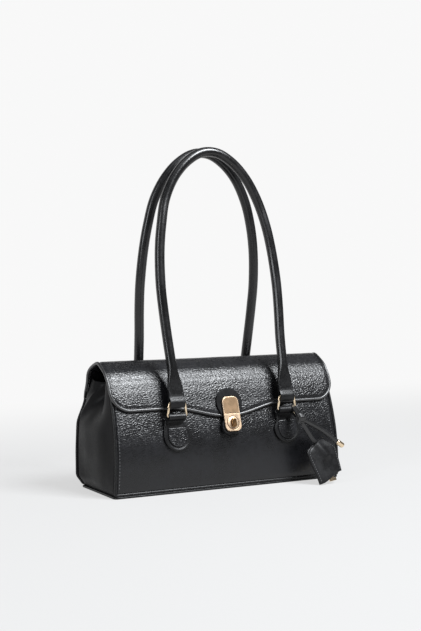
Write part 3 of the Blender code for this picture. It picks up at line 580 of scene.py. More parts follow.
def leather_sheet(
    name: str, counts: tuple[int, int], place: Place, thickness: float, inside: Vector, edge: float = 0.0004
) -> Object:
    """A sheet of leather with its wall on the inner side and its cut edges rounded.

    Args:
        name: The piece's name.
        counts: Faces along u and along v.
        place: Gives the outer face's points.
        thickness: The leather's thickness.
        inside: A point on the inner side of the sheet.
        edge: The rounding of the cut edges.

    Returns:
        The piece.
    """
    return wall(grid(name, *counts, place), thickness, inside, edge, 2, False)


def frames_along(path: Sequence[Vector], first_side: Vector, closed: bool) -> list[tuple[Vector, Vector]]:
    """The two cross directions at each point of a path, carried along it without twist.

    Args:
        path: The path.
        first_side: About which way the first cross direction points at the start.
        closed: Whether the path is a ring.

    Returns:
        A side and an up direction for each point.
    """
    count = len(path)
    found = []
    side = first_side
    for index in range(count):
        before = path[(index - 1) % count] if closed else path[max(index - 1, 0)]
        after = path[(index + 1) % count] if closed else path[min(index + 1, count - 1)]
        along = (after - before).normalized()
        side = (side - along * side.dot(along)).normalized()
        found.append((side, along.cross(side)))
    return found


def swept(
    name: str, path: Sequence[Vector], section: Section, first_side: Vector, sides: int = 24, closed: bool = False
) -> Object:
    """A grid rolled round a path, with its UV map in metres: u round it and v along it.

    Args:
        name: The piece's name.
        path: The path's points.
        section: Gives a point of the section from the share along the path and the angle round it.
        first_side: About which way angle 0 points at the start.
        sides: Faces round the section.
        closed: Whether the path is a ring.

    Returns:
        The piece, closed at both ends.
    """
    points = list(path) + ([path[0]] if closed else [])
    sets = frames_along(path, first_side, closed)
    sets += [sets[0]] if closed else []
    rows = len(points) - 1

    def place(u: float, v: float) -> Vector:
        """A point of the grid, rolled round the path.

        Args:
            u: Its share of the way along the grid's rows.
            v: Its share of the way along the grid's columns.

        Returns:
            The point.
        """
        index = round(v * rows)
        side, up = sets[index]
        across, out = section(index / rows, 2 * math.pi * u)
        return points[index] + side * across + up * out

    obj = grid(name, sides, rows, place)
    around = math.pi * sum(math.hypot(*section(0.5, angle)) for angle in (0.0, math.pi / 2))
    length = path_length(points)
    for loop in obj.data.uv_layers.active.data:
        loop.uv = (loop.uv[0] * around, loop.uv[1] * length)

    def close() -> None:
        """Merge the seam and cap the open ends."""
        merge()
        if not closed:
            bpy.ops.mesh.select_all(action="DESELECT")
            bpy.ops.mesh.select_non_manifold(extend=False)
            bpy.ops.mesh.edge_face_add()
            bpy.ops.mesh.select_all(action="SELECT")

    in_edit(obj, close, turn_outwards)
    return smooth(obj, 50.0)


def tube(radius: Callable[[float], float]) -> Section:
    """A round section, from its radius at each share along the path."""
    return lambda along, angle: (radius(along) * math.cos(angle), radius(along) * math.sin(angle))


def outline_plate(name: str, outline: Outline, thickness: float, bevel: float = 0.0, segments: int = 3) -> Object:
    """A flat plate from an outline, extruded and bevelled, centred on its own XY plane.

    Args:
        name: The piece's name.
        outline: Its corners, counter-clockwise.
        thickness: Its thickness along Z.
        bevel: The width of its rounded edges.
        segments: Steps in each rounded edge.

    Returns:
        The piece.
    """
    deselect()
    bpy.ops.mesh.primitive_circle_add(vertices=len(outline), radius=1.0, fill_type="NGON")
    obj = named(bpy.context.object, name)
    for vertex, place in zip(obj.data.vertices, outline):
        vertex.co = (*place, -thickness / 2)
    move = {"value": (0.0, 0.0, thickness)}
    in_edit(obj, lambda: bpy.ops.mesh.extrude_region_move(TRANSFORM_OT_translate=move))
    settle(obj)
    return round_edges(obj, bevel, segments) if bevel else obj


def cut(obj: Object, tool: Object) -> Object:
    """Cut a tool out of a piece and remove the tool.

    Args:
        obj: The piece.
        tool: What is cut out of it.

    Returns:
        The piece.
    """
    apply_step(obj, "BOOLEAN", operation="DIFFERENCE", solver="EXACT", object=tool)
    bpy.data.objects.remove(tool, do_unlink=True)
    return smooth(obj)


def turned(name: str, radius: float, depth: float, matrix: Matrix, bevel: float = 0.0, sides: int = 40) -> Object:
    """A turned disc or rod along its own Z.

    Args:
        name: The piece's name.
        radius: Its radius.
        depth: Its length.
        matrix: Its place.
        bevel: The width of its rounded edges.
        sides: Faces round it.

    Returns:
        The piece.
    """
    deselect()
    bpy.ops.mesh.primitive_cylinder_add(vertices=sides, radius=radius, depth=depth)
    obj = named(bpy.context.object, name)
    return place_mesh(round_edges(obj, bevel) if bevel else smooth(obj), matrix)


def joined(name: str, parts: Sequence[Object]) -> Object:
    """One piece from several that are sewn or cast together.

    Args:
        name: The new piece's name.
        parts: The pieces that it is made of.

    Returns:
        The new piece.
    """
    deselect()
    for part in parts:
        part.select_set(True)
    bpy.context.view_layer.objects.active = parts[0]
    bpy.ops.object.join()
    return named(parts[0], name)


def stitch_row(name: str, path: Sequence[Vector], out: Vector, length: float = 0.0024, gap: float = 0.0011) -> Object:
    """A row of stitches along a path, each one thread that dips into the leather at its ends.

    Args:
        name: The piece's name.
        path: The seam line on the leather's face.
        out: The direction out of the leather.
        length: A stitch's length.
        gap: The space between two stitches.

    Returns:
        The row as one piece.
    """
    deselect()
    bpy.ops.mesh.primitive_uv_sphere_add(segments=6, ring_count=5, radius=0.5)
    model = bpy.context.object
    places = evenly(path, length + gap)
    builder = bmesh.new()
    for start, stop in zip(places, places[1:]):
        along = (stop - start).normalized()
        rise = (out - along * out.dot(along)).normalized()
        turn = Matrix((along.cross(rise), rise, along)).transposed().to_4x4()
        copy = model.data.copy()
        copy.transform(Matrix.Translation((start + stop) / 2) @ turn @ Matrix.Diagonal((*STITCH, length, 1.0)))
        builder.from_mesh(copy)
        bpy.data.meshes.remove(copy)
    data = bpy.data.meshes.new(name)
    builder.to_mesh(data)
    builder.free()
    row = bpy.data.objects.new(name, data)
    bpy.context.scene.collection.objects.link(row)
    bpy.data.objects.remove(model, do_unlink=True)
    hold(row)
    bpy.ops.object.shade_smooth()
    return row


# Effects that several finishes share


class Graph:
    """A small helper that adds nodes to a tree and joins them."""

    def __init__(self, tree: NodeTree) -> None:
        """Work on one node tree."""
        self.tree = tree

    def add(self, kind: str, inputs: Optional[dict[object, object]] = None, **settings: object) -> Node:
        """Add a node.

        Args:
            kind: The node's type, less its first word, ShaderNode.
            inputs: What its inputs are joined to or set to.
            settings: Its settings.

        Returns:
            The node.
        """
        node = self.tree.nodes.new(f"ShaderNode{kind}")
        for name, value in settings.items():
            setattr(node, name, value)
        return self.feed(node, inputs or {})

    def feed(self, node: Node, inputs: dict[object, object]) -> Node:
        """Join a node's inputs to sockets or to the first outputs of nodes, or set them to plain values.

        Args:
            node: The node.
            inputs: A socket, a node or a plain value for each input, by its name or number.

        Returns:
            The node.
        """
        for key, value in inputs.items():
            source = value.outputs[0] if isinstance(value, Node) else value
            if isinstance(source, NodeSocket):
                self.tree.links.new(source, node.inputs[key])
            else:
                node.inputs[key].default_value = source
        return node

    def maths(self, operation: str, *values: object) -> Node:
        """A Math node on nodes, sockets or plain numbers."""
        return self.add("Math", dict(enumerate(values)), operation=operation)

    def stretch(self, value: object, low: float, high: float, to_low: float = 0.0, to_high: float = 1.0) -> Node:
        """A smooth step of a value from one range to another."""
        ranges = {"Value": value, "From Min": low, "From Max": high, "To Min": to_low, "To Max": to_high}
        return self.add("MapRange", ranges, interpolation_type="SMOOTHSTEP")

    def noise(self, vector: object, scale: float, detail: float = 2.0, rough: float = 0.5) -> Node:
        """A noise texture on a vector."""
        return self.add("TexNoise", {"Vector": vector, "Scale": scale, "Detail": detail, "Roughness": rough})

    def blend(self, share: object, low: Sequence[float], high: Sequence[float]) -> NodeSocket:
        """A colour between two, by a value."""
        return self.add("Mix", {0: share, 6: (*low, 1.0), 7: (*high, 1.0)}, data_type="RGBA").outputs[2]


def group(name: str, values: dict[str, float], outputs: Sequence[str]) -> tuple[Graph, Node, Node]:
    """A new shader node group that works on a vector.

    Args:
        name: The group's name.
        values: Its plain inputs with their values.
        outputs: The names of its outputs.

    Returns:
        The group's graph, its input node and its output node.
    """
    tree = bpy.data.node_groups.new(name, "ShaderNodeTree")
    tree.interface.new_socket("Vector", in_out="INPUT", socket_type="NodeSocketVector")
    for label, value in values.items():
        tree.interface.new_socket(label, in_out="INPUT", socket_type="NodeSocketFloat").default_value = value
    for label in outputs:
        tree.interface.new_socket(label, in_out="OUTPUT", socket_type="NodeSocketFloat")
    return Graph(tree), tree.nodes.new("NodeGroupInput"), tree.nodes.new("NodeGroupOutput")


def grain_group() -> NodeTree:
    """Pebbled leather grain: pebbles with creases between them, pulled into slanting wrinkles.

    Returns:
        The node group.
    """
    graph, given, out = group("leather_grain", {"Pebble": 400.0, "Wrinkle": 460.0}, ("Height", "Crease"))
    where, pebble, wrinkle = (given.outputs[name] for name in ("Vector", "Pebble", "Wrinkle"))
    warp = graph.noise(where, 260.0).outputs["Color"]
    centred = graph.add("VectorMath", {0: warp, 1: (0.5, 0.5, 0.5)}, operation="SUBTRACT")
    scaled = graph.add("VectorMath", {0: centred, "Scale": 0.0010}, operation="SCALE")
    moved = graph.add("VectorMath", {0: where, 1: scaled}, operation="ADD")
    lean = (0.0, math.radians(30.0), 0.0)
    slant = graph.add("Mapping", {"Vector": moved, "Rotation": lean, "Scale": (0.72, 1.0, 1.18)})
    pebbles = graph.add("TexVoronoi", {"Vector": slant, "Scale": pebble}, feature="DISTANCE_TO_EDGE")
    dome = graph.stretch(pebbles, 0.0, 0.30)
    cells = {"Vector": slant, "Scale": wrinkle, "Smoothness": 0.45}
    wrinkles = graph.add("TexVoronoi", cells, feature="SMOOTH_F1")
    folds = graph.maths("MULTIPLY", graph.stretch(wrinkles, 0.10, 0.75), -0.40)
    low = graph.maths("MULTIPLY_ADD", graph.noise(slant, 560.0, 2.0, 0.6), 0.90, folds)
    height = graph.maths("MULTIPLY_ADD", dome, 0.70, low)
    graph.feed(out, {"Height": height, "Crease": graph.maths("SUBTRACT", 1.0, dome)})
    return graph.tree


def drift_group() -> NodeTree:
    """Slow change of tone over a surface, with a finer mottle in it.

    Returns:
        The node group.
    """
    graph, given, out = group("tone_drift", {"Size": 22.0, "Fine": 180.0}, ("Value",))
    where, size, detail = (given.outputs[name] for name in ("Vector", "Size", "Fine"))
    broad = graph.add("TexNoise", {"Vector": where, "Scale": size})
    fine = graph.add("TexNoise", {"Vector": where, "Scale": detail})
    both = graph.maths("MULTIPLY_ADD", fine, 0.35, graph.maths("MULTIPLY", broad, 0.65))
    graph.feed(out, {"Value": graph.stretch(both, 0.30, 0.70)})
    return graph.tree


def streak_group() -> NodeTree:
    """Fine brushed lines along Z.

    Returns:
        The node group.
    """
    graph, given, out = group("brushed_lines", {}, ("Height",))
    thin = graph.add("Mapping", {"Vector": given.outputs["Vector"], "Scale": (5200.0, 5200.0, 160.0)})
    graph.feed(out, {"Height": graph.noise(thin, 1.0, 3.0, 0.65)})
    return graph.tree


@dataclass(frozen=True)
class Shades:
    """The shared node groups, made once."""

    grain: NodeTree
    tone: NodeTree
    streak: NodeTree


class Coat(Graph):
    """A new material's graph, with its shader and its Object coordinates."""

    def __init__(self, name: str) -> None:
        """Make the material.

        Args:
            name: The material's name.
        """
        self.made = bpy.data.materials.new(name)
        self.made.use_nodes = True
        super().__init__(self.made.node_tree)
        self.shader = self.made.node_tree.nodes["Principled BSDF"]
        self.where = self.add("TexCoord").outputs["Object"]

    def effect(self, tree: NodeTree, **values: float) -> Node:
        """Place a shared effect with its own values."""
        return self.add("Group", {"Vector": self.where, **values}, node_tree=tree)

    def along(self, axis: str) -> NodeSocket:
        """One of the three coordinates."""
        return self.add("SeparateXYZ", {0: self.where}).outputs[axis]

    def finish(
        self,
        share: object,
        colours: tuple[Point, Point],
        wear: object,
        roughness: tuple[float, float],
        layers: Sequence[tuple[object, float]],
        **more: float,
    ) -> Material:
        """Feed the shader.

        Args:
            share: The value that the colour goes by.
            colours: The colour at 0 and the colour at 1.
            wear: The value that the roughness goes by.
            roughness: The roughness at 0 and at 1.
            layers: The heights of its relief and their depths in metres, the lowest first.
            more: Other inputs of the shader, with lines for the spaces in their names.

        Returns:
            The material.
        """
        below: dict[str, object] = {}
        for height, depth in layers:
            below = {"Normal": self.add("Bump", {"Strength": 1.0, "Distance": depth, "Height": height, **below})}
        values = {name.replace("_", " "): value for name, value in more.items()}
        colour = self.blend(share, *colours)
        rough = self.stretch(wear, 0.0, 1.0, *roughness)
        self.feed(self.shader, {"Base Color": colour, "Roughness": rough, **below, **values})
        return self.made


@dataclass(frozen=True)
class GrainedLeather:
    """Black pebbled leather, whose grain is pressed flatter low down on the panels."""

    name: str = "grained_black_leather"
    dark: Point = (0.0028, 0.0028, 0.0034)
    light: Point = (0.0060, 0.0062, 0.0078)
    rough: tuple[float, float] = (0.25, 0.36)
    grain_depth: float = 0.00017
    pore_depth: float = 0.00002
    pressed: float = 0.12
    flat_below: float = 0.036
    full_above: float = 0.074
    gloss: float = 0.48

    def build(self, shades: Shades) -> Material:
        """Make the material.

        Args:
            shades: The shared node groups.

        Returns:
            The material.
        """
        coat = Coat(self.name)
        grain = coat.effect(shades.grain)
        tone = coat.effect(shades.tone)
        raised = coat.stretch(coat.along("Z"), self.flat_below, self.full_above, self.pressed)
        height = coat.maths("MULTIPLY", grain, raised)
        spread = coat.maths("MULTIPLY_ADD", grain.outputs["Crease"], 0.35, coat.maths("MULTIPLY", tone, 0.65))
        layers = [(coat.noise(coat.where, 2600.0), self.pore_depth), (height, self.grain_depth)]
        return coat.finish(tone, (self.dark, self.light), spread, self.rough, layers, Specular_IOR_Level=self.gloss)


@dataclass(frozen=True)
class SmoothLeather:
    """Black smooth leather with faint pores and slow undulation."""

    name: str = "smooth_black_leather"
    dark: Point = (0.0036, 0.0036, 0.0040)
    light: Point = (0.0080, 0.0080, 0.0088)
    rough: tuple[float, float] = (0.34, 0.48)
    pore_depth: float = 0.00003
    wave_depth: float = 0.00035
    gloss: float = 0.28

    def build(self, shades: Shades) -> Material:
        """Make the material.

        Args:
            shades: The shared node groups.

        Returns:
            The material.
        """
        coat = Coat(self.name)
        tone = coat.effect(shades.tone, Size=45.0, Fine=420.0)
        pores = coat.effect(shades.grain, Pebble=1500.0, Wrinkle=520.0)
        layers = [(pores, self.pore_depth), (coat.noise(coat.where, 55.0, 1.0), self.wave_depth)]
        return coat.finish(tone, (self.dark, self.light), tone, self.rough, layers, Specular_IOR_Level=self.gloss)


@dataclass(frozen=True)
class GoldPlate:
    """Plated metal with faint wear, polished or brushed."""

    name: str
    colour: Point
    worn: Point
    roughness: float
    brushed: float = 0.0
    wear: float = 0.12
    wave_depth: float = 0.000008

    def build(self, shades: Shades) -> Material:
        """Make the material.

        Args:
            shades: The shared node groups.

        Returns:
            The material.
        """
        coat = Coat(self.name)
        tone = coat.effect(shades.tone, Size=160.0, Fine=900.0)
        if self.brushed:
            layers = [(coat.effect(shades.streak), self.brushed)]
        else:
            layers = [(coat.noise(coat.where, 300.0, 1.0), self.wave_depth)]
        rough = (self.roughness, self.roughness + self.wear)
        return coat.finish(tone, (self.colour, self.worn), tone, rough, layers, Metallic=1.0)


@dataclass(frozen=True)
class WovenCloth:
    """Dark lining cloth with a plain weave."""

    name: str = "lining_weave"
    dark: Point = (0.030, 0.027, 0.026)
    light: Point = (0.075, 0.068, 0.063)
    thread: float = 1500.0
    depth: float = 0.00012
    fuzz: float = 0.25

    def build(self, shades: Shades) -> Material:
        """Make the material.

        Args:
            shades: The shared node groups.

        Returns:
            The material.
        """
        coat = Coat(self.name)
        tone = coat.effect(shades.tone)
        across = coat.maths("ADD", coat.along("X"), coat.along("Y"))
        turns = self.thread * math.pi
        warp, weft = (coat.maths("SINE", coat.maths("MULTIPLY", way, turns)) for way in (across, coat.along("Z")))
        weave = coat.maths("MULTIPLY", warp, weft)
        share = coat.maths("MULTIPLY_ADD", weave, 0.25, tone)
        layers = [(weave, self.depth)]
        return coat.finish(share, (self.dark, self.light), tone, (0.78, 0.92), layers, Sheen_Weight=self.fuzz)


@dataclass(frozen=True)
class Fibres:
    """Pressed board or waxed thread: fibres of one size with a mottled tone."""

    name: str
    dark: Point
    light: Point
    rough: tuple[float, float]
    mottle: tuple[float, float]
    size: float
    detail: float
    depth: float

    def build(self, shades: Shades) -> Material:
        """Make the material.

        Args:
            shades: The shared node groups.

        Returns:
            The material.
        """
        coat = Coat(self.name)
        tone = coat.effect(shades.tone, Size=self.mottle[0], Fine=self.mottle[1])
        layers = [(coat.noise(coat.where, self.size, self.detail), self.depth)]
        return coat.finish(tone, (self.dark, self.light), tone, self.rough, layers)


BOARD = Fibres(
    "pressed_board", (0.20, 0.155, 0.11), (0.30, 0.24, 0.18), (0.75, 0.9), (60.0, 1400.0), 1300.0, 3.0, 0.00006
)
THREAD_FINISH = Fibres(
    "waxed_thread", (0.018, 0.018, 0.020), (0.040, 0.040, 0.043), (0.38, 0.55), (700.0, 2400.0), 5200.0, 1.0, 0.00005
)
PALE_THREAD = replace(
    THREAD_FINISH, name="pale_waxed_thread", dark=(0.060, 0.060, 0.062), light=(0.120, 0.120, 0.125)
)


class Wardrobe:
    """Every finish of the bag, each made once."""

    def __init__(self) -> None:
        """Make the shared effects and then the materials."""
        shades = Shades(grain_group(), drift_group(), streak_group())
        pale, satin = ((0.93, 0.77, 0.56), (0.84, 0.66, 0.45)), ((0.58, 0.43, 0.30), (0.53, 0.39, 0.265))
        brushed, bronze = ((0.275, 0.183, 0.110), (0.240, 0.158, 0.095)), ((0.30, 0.165, 0.075), (0.17, 0.09, 0.04))
        self.grained = GrainedLeather().build(shades)
        self.smooth = SmoothLeather().build(shades)
        self.pale_gold = GoldPlate("pale_gold_plate", *pale, 0.14).build(shades)
        self.brushed_gold = GoldPlate("brushed_gold_plate", *brushed, 0.36, 0.00002).build(shades)
        self.bronze = GoldPlate("dark_bronze_plate", *bronze, 0.22).build(shades)
        self.satin_gold = GoldPlate("satin_gold_plate", *satin, 0.36).build(shades)
        self.cloth = WovenCloth().build(shades)
        self.board = BOARD.build(shades)
        self.thread = THREAD_FINISH.build(shades)
        self.pale_thread = PALE_THREAD.build(shades)
        tones = (0.0030, 0.0030, 0.0033), (0.0070, 0.0070, 0.0076)
        self.handle = SmoothLeather(
            "handle_black_leather", *tones, (0.22, 0.32), pore_depth=0.000002, wave_depth=0.00010, gloss=0.52
        ).build(shades)
        self.edge = SmoothLeather(
            "edge_black_leather", rough=(0.34, 0.44), pore_depth=0.000003, wave_depth=0.0001, gloss=0.95
        ).build(shades)
        self.strand = SmoothLeather(
            "strand_black_leather", rough=(0.27, 0.36), pore_depth=0.000002, wave_depth=0.00005, gloss=0.7
        ).build(shades)
        self.gusset = SmoothLeather(
            "gusset_black_leather", rough=(0.38, 0.50), pore_depth=0.00002, gloss=0.12
        ).build(shades)
        self.grained_fine = GrainedLeather("pad_black_leather", flat_below=-1.0, full_above=-0.5).build(shades)


def dress(obj: Object, material: Material, body: Body, replaces: Sequence[str] = ()) -> Object:
    """Give a piece its material and its body, and report it.

    Args:
        obj: The piece.
        material: Its material.
        body: The body that it rides on.
        replaces: The nodes that it stands for.

    Returns:
        The piece.
    """
    obj.data.materials.clear()
    obj.data.materials.append(material)
    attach(obj, body.value)
    if replaces:
        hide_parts(*replaces)
    LOG.info("%s: %d faces on %s", obj.name, len(obj.data.polygons), body.value)
    return obj


def dress_node(node: str, material: Material) -> None:
    """Give a carried-over node a better material.

    Args:
        node: The node's name.
        material: The material.
    """
    data = frame["nodes"][node].data
    data.materials.clear()
    data.materials.append(material)
    LOG.info("%s: kept from the construction", node)


# The bag's pieces


class Side(Enum):
    """The bag's two long faces."""

    FRONT = "front"
    REAR = "rear"

    @property
    def outward(self) -> float:
        """Which way along Y the face looks."""
        return -1.0 if self is Side.FRONT else 1.0

    @property
    def word(self) -> str:
        """What the shell's pieces on this face are called."""
        return "front" if self is Side.FRONT else "back"

    @property
    def top(self) -> float:
        """The height of the panel's upper edge."""
        return FORM.panel_height if self is Side.FRONT else FORM.hinge - FORM.gap

    def reach(self, z: float) -> float:
        """Half the body's length along this face."""
        return FORM.half_length(z) if self is Side.FRONT else FORM.rear_half_length(z)

    def face(self, z: float) -> float:
        """The Y of the shell's outer face."""
        return FORM.front(z) if self is Side.FRONT else FORM.back(z)


def tuck(u: float, v: float, width: float, height: float, reach: float) -> float:
    """How far a panel's edge is pulled in towards its seam, from 0 to 1."""
    near = min(u * width, (1 - u) * width, v * height, (1 - v) * height)
    return 1.0 - smoothstep(near / reach)


@dataclass
class Shell:
    """The body: panels, gussets, corded seams, base and what lies inside."""

    finishes: Wardrobe
    form: BagForm = FORM
    wave: float = 0.00038
    tuck_depth: float = 0.0007
    tuck_reach: float = 0.0045
    slack: float = 0.0011
    crease: float = 0.0020
    hollow: float = 0.0016
    fold_from: float = 0.070
    fold_rise: float = 0.022
    end_size: tuple[float, float] = (0.088, 0.12)
    end_reach: float = 0.004
    end_tuck: float = 0.0008
    seam_swell: float = 1.12
    stitch_foot: float = 0.010
    stitch_span: float = 0.016
    stitch_inset: tuple[float, float] = (0.0022, 0.0052)
    lining_foot: float = 0.0050
    lining_drop: float = 0.0080
    lining_inset: float = 0.0160
    cloth: float = 0.0009
    pocket_half: float = 0.0600
    pocket_low: float = 0.0300
    pocket_rise: float = 0.0580
    pocket_sag: float = 0.0022
    pocket_cloth: float = 0.0010
    pocket_clear: float = 0.0013
    box_power: float = 0.22
    floor_share: float = 0.25
    inside: Vector = field(default_factory=lambda: Vector((0.0, 0.0, 0.063)))

    def panel(self, side: Side) -> None:
        """The front or the back panel, with slow dents and edges drawn in to the seam.

        Args:
            side: The face that it covers.
        """
        form = self.form
        foot = form.base_thickness + 2 * form.gap + 2 * form.piping
        rise = side.top - foot
        inset = 2 * form.piping + form.gap
        seed = 3.0 if side is Side.FRONT else 8.0

        def place(u: float, v: float) -> Vector:
            """A point of the panel's outer face.

            Args:
                u: Its share of the way along the grid's rows.
                v: Its share of the way along the grid's columns.

            Returns:
                The point.
            """
            z = foot + rise * v
            x = (side.reach(z) - inset) * (2 * u - 1) * -side.outward
            pulled = tuck(u, v, 2 * form.base_half_length, rise, self.tuck_reach)
            dent = self.wave * drift((x, 0.0, z), 0.042, seed) * (1.0 - pulled)
            return Vector((x, side.face(z) + side.outward * (dent - self.tuck_depth * pulled), z))

        name = f"{side.word}_panel"
        piece = leather_sheet(f"{name}_leather", (190, 86), place, form.leather, self.inside)
        dress(piece, self.finishes.grained, Body.SHELL, [name])

    def gusset(self, name: str, side: float) -> None:
        """One end, swollen low down and folded in at its top.

        Args:
            name: The node's name.
            side: -1 on the left and 1 on the right.
        """
        form = self.form
        edge = 2 * form.piping + form.gap
        foot = form.base_thickness + form.gap

        def place(u: float, v: float) -> Vector:
            """A point of the gusset's outer face.

            Args:
                u: Its share of the way along the grid's rows.
                v: Its share of the way along the grid's columns.

            Returns:
                The point.
            """
            top = form.panel_height - form.gusset_dip * math.sin(math.pi * u)
            z = foot + (top - foot) * v
            low = form.front(z) + edge
            high = form.inner_back(z) - edge + 0.0034 * smoothstep((z - 0.098) / 0.012)
            y = low + (high - low) * u
            pulled = tuck(u, v, *self.end_size, self.end_reach)
            slack = self.slack * drift((0.0, y, z * 0.6), 0.026, 4.0 + side) * (1.0 - pulled)
            fold_line = 0.97 - 10.2 * (z - 0.083)
            raised = smoothstep((z - self.fold_from) / self.fold_rise)
            crease = self.crease * hill(u, fold_line, 0.055) * raised
            hollow = self.hollow * hill(u - fold_line, -0.16, 0.10) * raised
            out = form.gusset(u, z) + slack + (crease - hollow) * (1.0 - pulled) - self.end_tuck * pulled
            return Vector((side * out, y, z))

        piece = leather_sheet(f"{name}_leather", (84, 96), place, form.leather, self.inside)
        dress(piece, self.finishes.gusset, Body.SHELL, [name])

    def seam_path(self, side: Side) -> list[Vector]:
        """The corded seam's middle line, down one side, along the foot and up the other side.

        Args:
            side: The face that it runs round.

        Returns:
            The line's points.
        """
        form = self.form
        low = form.base_thickness + form.gap + form.piping
        turn = form.piping + form.gap
        right = []
        for step in range(40):
            z = side.top + (low + turn - side.top) * step / 40
            right.append((side.reach(z) - form.piping, z))
        for step in range(9):
            angle = math.radians(90 * step / 8)
            z = low + turn - turn * math.sin(angle)
            right.append((side.reach(z) - form.piping - turn * (1 - math.cos(angle)), z))
        across = right[-1][0]
        foot = [(across - 2 * across * step / 60, low) for step in range(1, 60)]
        whole = right + foot + [(-x, z) for x, z in reversed(right)]
        return [Vector((x, side.face(z) - side.outward * form.piping, z)) for x, z in whole]

    def piping(self, side: Side) -> None:
        """The corded seam of one panel.

        Args:
            side: The face that it runs round.
        """
        name = f"{side.word}_piping"
        section = tube(lambda along: self.form.piping * (self.seam_swell + 0.035 * math.sin(along * 900.0)))
        piece = swept(f"{name}_cord", self.seam_path(side), section, Vector((0.0, side.outward, 0.0)), 14)
        dress(piece, self.finishes.smooth, Body.SHELL, [name])

    def side_stitches(self) -> None:
        """Short stitches beside the front panel's two side seams."""
        form = self.form
        for name, side, inset in (("left", -1.0, self.stitch_inset[0]), ("right", 1.0, self.stitch_inset[1])):
            path = []
            for step in range(40):
                z = self.stitch_foot + (form.panel_height - self.stitch_span) * step / 39
                x = side * (form.half_length(z) - 2 * form.piping) - side * inset
                path.append(Vector((x, form.front(z) + form.gap, z)))
            row = stitch_row(f"front_{name}_seam_stitches", path, Vector((0.0, -1.0, 0.0)))
            dress(row, self.finishes.pale_thread, Body.SHELL)

    def base(self) -> None:
        """The flat base with a rounded edge."""
        form = self.form
        corner = 2 * form.base_thickness
        depth = form.base_half_depth
        outline = rounded_rectangle(form.base_half_length, -depth, depth, corner, corner)
        piece = outline_plate("base_leather", outline, form.base_thickness, 0.0007)
        place_mesh(piece, Matrix.Translation((0.0, 0.0, form.base_thickness / 2)))
        dress(piece, self.finishes.smooth, Body.SHELL, ["base_panel"])

    def lining(self) -> None:
        """The sewn cloth lining, a tray with slack walls, and the pocket on its back."""
        form = self.form
        foot = self.lining_foot
        top = form.panel_height - self.lining_drop
        clear = form.piping + form.leather + 2 * form.gap

        def tray(u: float, v: float) -> Vector:
            """A point of the tray, its floor first and then its walls.

            Args:
                u: Its share of the way along the grid's rows.
                v: Its share of the way along the grid's columns.

            Returns:
                The point.
            """
            angle = 2 * math.pi * u
            floor = min(v / self.floor_share, 1.0)
            climb = max((v - self.floor_share) / (1.0 - self.floor_share), 0.0)
            z = foot + (top - foot) * climb
            half = form.half_length(z) - 2 * form.piping - form.leather - self.lining_inset * climb
            low = form.front(z) + clear
            high = form.inner_back(z) - clear
            across = bent(math.cos(angle), self.box_power)
            along = bent(math.sin(angle), self.box_power)
            wrinkle = 1.0 + drift((across * 0.14, along * 0.04, z), 0.018, 6.0)
            slack = 1.0 - 0.012 * wrinkle * math.sin(math.pi * climb)
            middle = (low + high) / 2
            return Vector((half * across * floor * slack, middle + (high - low) / 2 * along * floor * slack, z))

        cloth = grid("lining_cloth", 200, 60, tray)
        in_edit(cloth, lambda: merge(0.00002))
        settle(cloth, 60.0)
        face_away(cloth, self.inside)
        apply_step(cloth, "SOLIDIFY", thickness=self.cloth, offset=-1.0)
        dress(cloth, self.finishes.cloth, Body.SHELL, ["lining"])

        def pouch(u: float, v: float) -> Vector:
            """A point of the pocket's face.

            Args:
                u: Its share of the way along the grid's rows.
                v: Its share of the way along the grid's columns.

            Returns:
                The point.
            """
            z = self.pocket_low + self.pocket_rise * v
            share = 2 * u - 1
            sag = self.pocket_sag * (1 - share**2) * math.sin(math.pi * v / 2)
            sag += 0.0003 * (1.0 + drift((share * 0.06, 0.0, z), 0.016, 9.0))
            return Vector((self.pocket_half * share, form.back(z) - clear - self.pocket_clear - sag, z))

        pocket = leather_sheet("inner_pocket_cloth", (60, 30), pouch, self.pocket_cloth, self.inside, 0.0002)
        dress(pocket, self.finishes.cloth, Body.SHELL, ["inner_pocket"])

    def build(self) -> None:
        """Make every piece of the body."""
        for side in Side:
            self.panel(side)
            self.piping(side)
        self.gusset("left_gusset", -1.0)
        self.gusset("right_gusset", 1.0)
        self.side_stitches()
        self.base()
        dress_node("base_board", self.finishes.board)
        self.lining()
        dress_node("lock_washer", self.finishes.pale_gold)


